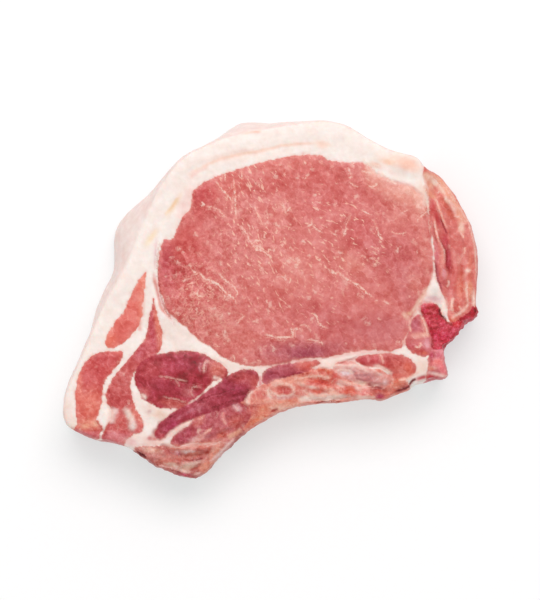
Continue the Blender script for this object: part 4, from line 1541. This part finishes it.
warped = add_node(
    tree, "ShaderNodeTexNoise", {"Vector": place, "Scale": 1 / (1.1 * MM), "Detail": 2.0}
).outputs["Color"]
warped = add_node(
    tree, "ShaderNodeVectorMath", {0: warped, 1: (2.2 * MM,) * 3, 2: place}, operation="MULTIPLY_ADD"
).outputs[0]
cells = add_node(
    tree, "ShaderNodeTexVoronoi", {"Vector": warped, "Scale": 1 / (1.7 * MM), "Randomness": 1.0},
    feature="DISTANCE_TO_EDGE",
).outputs["Distance"]
broken = ramp(tree, texture(tree, place, 1.8 * MM, 2), 0.42, 0.6)
net_mask = sums(tree, "MULTIPLY", ramp(tree, cells, 0.2, 0.0), broken)
net_mask = sums(tree, "MULTIPLY", net_mask, fleck_map[2])
fleck_mask = sums(tree, "MAXIMUM", fleck_mask, sums(tree, "MULTIPLY", net_mask, 0.5))
lean = blended(tree, sums(tree, "MULTIPLY", fleck_mask, 0.82), lean, FLECK)

beads = sums(tree, "MULTIPLY_ADD", texture(tree, place, 0.9 * MM, 2), 5.4, -1.6)
beads = sums(tree, "MAXIMUM", beads, 0.2)
jagged = sums(tree, "MULTIPLY_ADD", texture(tree, place, 0.55 * MM, 2), 1.5, -0.75)
faint = ramp(tree, texture(tree, place, 1.5 * MM, 2), 0.34, 0.56, 0.35, 1.0)


def drawn(name, count):
    """The mask of all the lines of these sets, and of the soft halo round them."""
    whole = halo = None
    for number in range(count):
        parts = add_node(
            tree, "ShaderNodeSeparateXYZ", {0: attribute(tree, f"{name}_{number}").outputs["Vector"]}
        ).outputs
        away = sums(tree, "ABSOLUTE", sums(tree, "ADD", parts[0], jagged))
        reach = sums(tree, "DIVIDE", away, sums(tree, "MULTIPLY", parts[2], beads))
        line = sums(tree, "MULTIPLY", ramp(tree, reach, 1.5, 0.4), parts[1])
        glow = sums(tree, "MULTIPLY", ramp(tree, sums(tree, "ABSOLUTE", parts[0]), 0.9, 0.1), parts[1])
        whole = line if whole is None else sums(tree, "MAXIMUM", whole, line)
        halo = glow if halo is None else sums(tree, "MAXIMUM", halo, glow)
    return whole, halo


thread_mask, thread_halo = drawn("threads", thread_sets)
thread_mask = sums(tree, "MULTIPLY", thread_mask, faint)
crease_mask, crease_halo = drawn("creases", crease_sets)
lean = blended(tree, sums(tree, "MULTIPLY", thread_halo, 0.5), lean, (*surface_colour(238, 160, 142), 1))

# gristle: cream films over orange-red meat
streaks = texture(tree, place, 2.2 * MM, 4, 0.65, 1.2)
film = sums(tree, "MULTIPLY", ramp(tree, streaks, 0.52, 0.72), gristle_map)
lean = blended(tree, sums(tree, "MULTIPLY", film, 0.6), lean, (*surface_colour(246, 208, 192), 1))
blood = sums(tree, "MULTIPLY", ramp(tree, streaks, 0.44, 0.3), gristle_map)
lean = blended(tree, sums(tree, "MULTIPLY", blood, 0.5), lean, (*surface_colour(196, 72, 62), 1))

# marrow: dark pits, bright wet crests
pits = texture(tree, place, 1.15 * MM, 3, 0.65)
pit_mask = sums(tree, "MULTIPLY", ramp(tree, pits, 0.48, 0.34), marrow_map)
lean = blended(tree, sums(tree, "MULTIPLY", pit_mask, 0.65), lean, (*surface_colour(150, 16, 38), 1))
crest = sums(tree, "MULTIPLY", ramp(tree, pits, 0.56, 0.7), marrow_map)
lean = blended(tree, sums(tree, "MULTIPLY", crest, 0.6), lean, (*surface_colour(242, 132, 142), 1))

# fat: tone with faint cloudiness
cloudy = texture(tree, place, 3.0 * MM, 3, 0.55)
fat_colour = add_node(
    tree, "ShaderNodeGamma",
    {"Color": attribute(tree, "fat_tone").outputs["Color"],
     "Gamma": sums(tree, "MULTIPLY_ADD", sums(tree, "SUBTRACT", cloudy, 0.5), 0.9, 1.0)},
).outputs[0]

# the wall between them
wall = attribute(tree, "lean_edge").outputs["Fac"]
ragged = sums(tree, "SUBTRACT", texture(tree, place, 1.1 * MM, 4, 0.65), 0.5)
ragged = sums(tree, "MULTIPLY", ragged, sums(tree, "MULTIPLY", attribute(tree, "fray").outputs["Fac"], 4.0))
wall = sums(tree, "ADD", wall, ragged)
fringe = sums(tree, "MULTIPLY", ramp(tree, wall, 1.2, 0.1), 0.3)
lean = blended(tree, fringe, lean, (*surface_colour(238, 166, 150), 1))
blush = sums(tree, "MULTIPLY", ramp(tree, wall, -1.3, 0.0), 0.5)
fat_colour = blended(tree, blush, fat_colour, (*surface_colour(242, 196, 184), 1))
eased = sums(tree, "DIVIDE", wall, attribute(tree, "soft").outputs["Fac"])
lean_mask = ramp(tree, eased, -0.22, 0.22)
colour = blended(tree, lean_mask, fat_colour, lean)
colour = blended(tree, thread_mask, colour, (*surface_colour(250, 220, 206), 1))
deeper = sums(tree, "MULTIPLY_ADD", crease_mask, 1.5, 1.0)
colour = add_node(tree, "ShaderNodeGamma", {"Color": colour, "Gamma": deeper}).outputs[0]
colour = blended(tree, sums(tree, "MULTIPLY", crease_mask, 0.25), colour, (0.25, 0.02, 0.03, 1))
tree.links.new(colour, shader.inputs["Base Color"])

# sheen: wet lean, waxy fat, satin rind
wet = texture(tree, place, 2.2 * MM, 2)
roughness = sums(tree, "MULTIPLY_ADD", wet, 0.22, 0.3)
roughness = sums(tree, "MULTIPLY_ADD", sums(tree, "SUBTRACT", 1.0, lean_mask), 0.1, roughness)
tree.links.new(roughness, shader.inputs["Roughness"])
shader.inputs["IOR"].default_value = 1.4
shader.inputs["Subsurface Weight"].default_value = 0.4
shader.inputs["Subsurface Radius"].default_value = (1.0, 0.35, 0.25)
shader.inputs["Subsurface Scale"].default_value = 1.1 * MM

pores = texture(tree, place, 0.7 * MM, 2)
height = sums(tree, "MULTIPLY", grained.outputs["Height"], lean_mask)
height = sums(tree, "MULTIPLY_ADD", thread_mask, 0.5, height)
height = sums(tree, "MULTIPLY_ADD", crease_mask, -1.0, height)
height = sums(tree, "MULTIPLY_ADD", pores, 0.3, height)
height = sums(tree, "MULTIPLY_ADD", sums(tree, "MULTIPLY", streaks, gristle_map), 2.0, height)
height = sums(tree, "MULTIPLY_ADD", sums(tree, "MULTIPLY", pits, marrow_map), 4.0, height)
bump = add_node(tree, "ShaderNodeBump", {"Height": height, "Strength": 0.6, "Distance": 0.12 * MM})
tree.links.new(bump.outputs["Normal"], shader.inputs["Normal"])
chop.data.materials.clear()
chop.data.materials.append(flesh)
only(chop)
bpy.ops.object.shade_smooth()
print("flesh nodes:", len(tree.nodes))

# %% [markdown]
# ## Hand over
# The chop is one body, so every piece rides on the root. The skin stands for all the CAD
# solids, which physics keeps using.

# %% Ride, sizes and finish
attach(chop, "root")
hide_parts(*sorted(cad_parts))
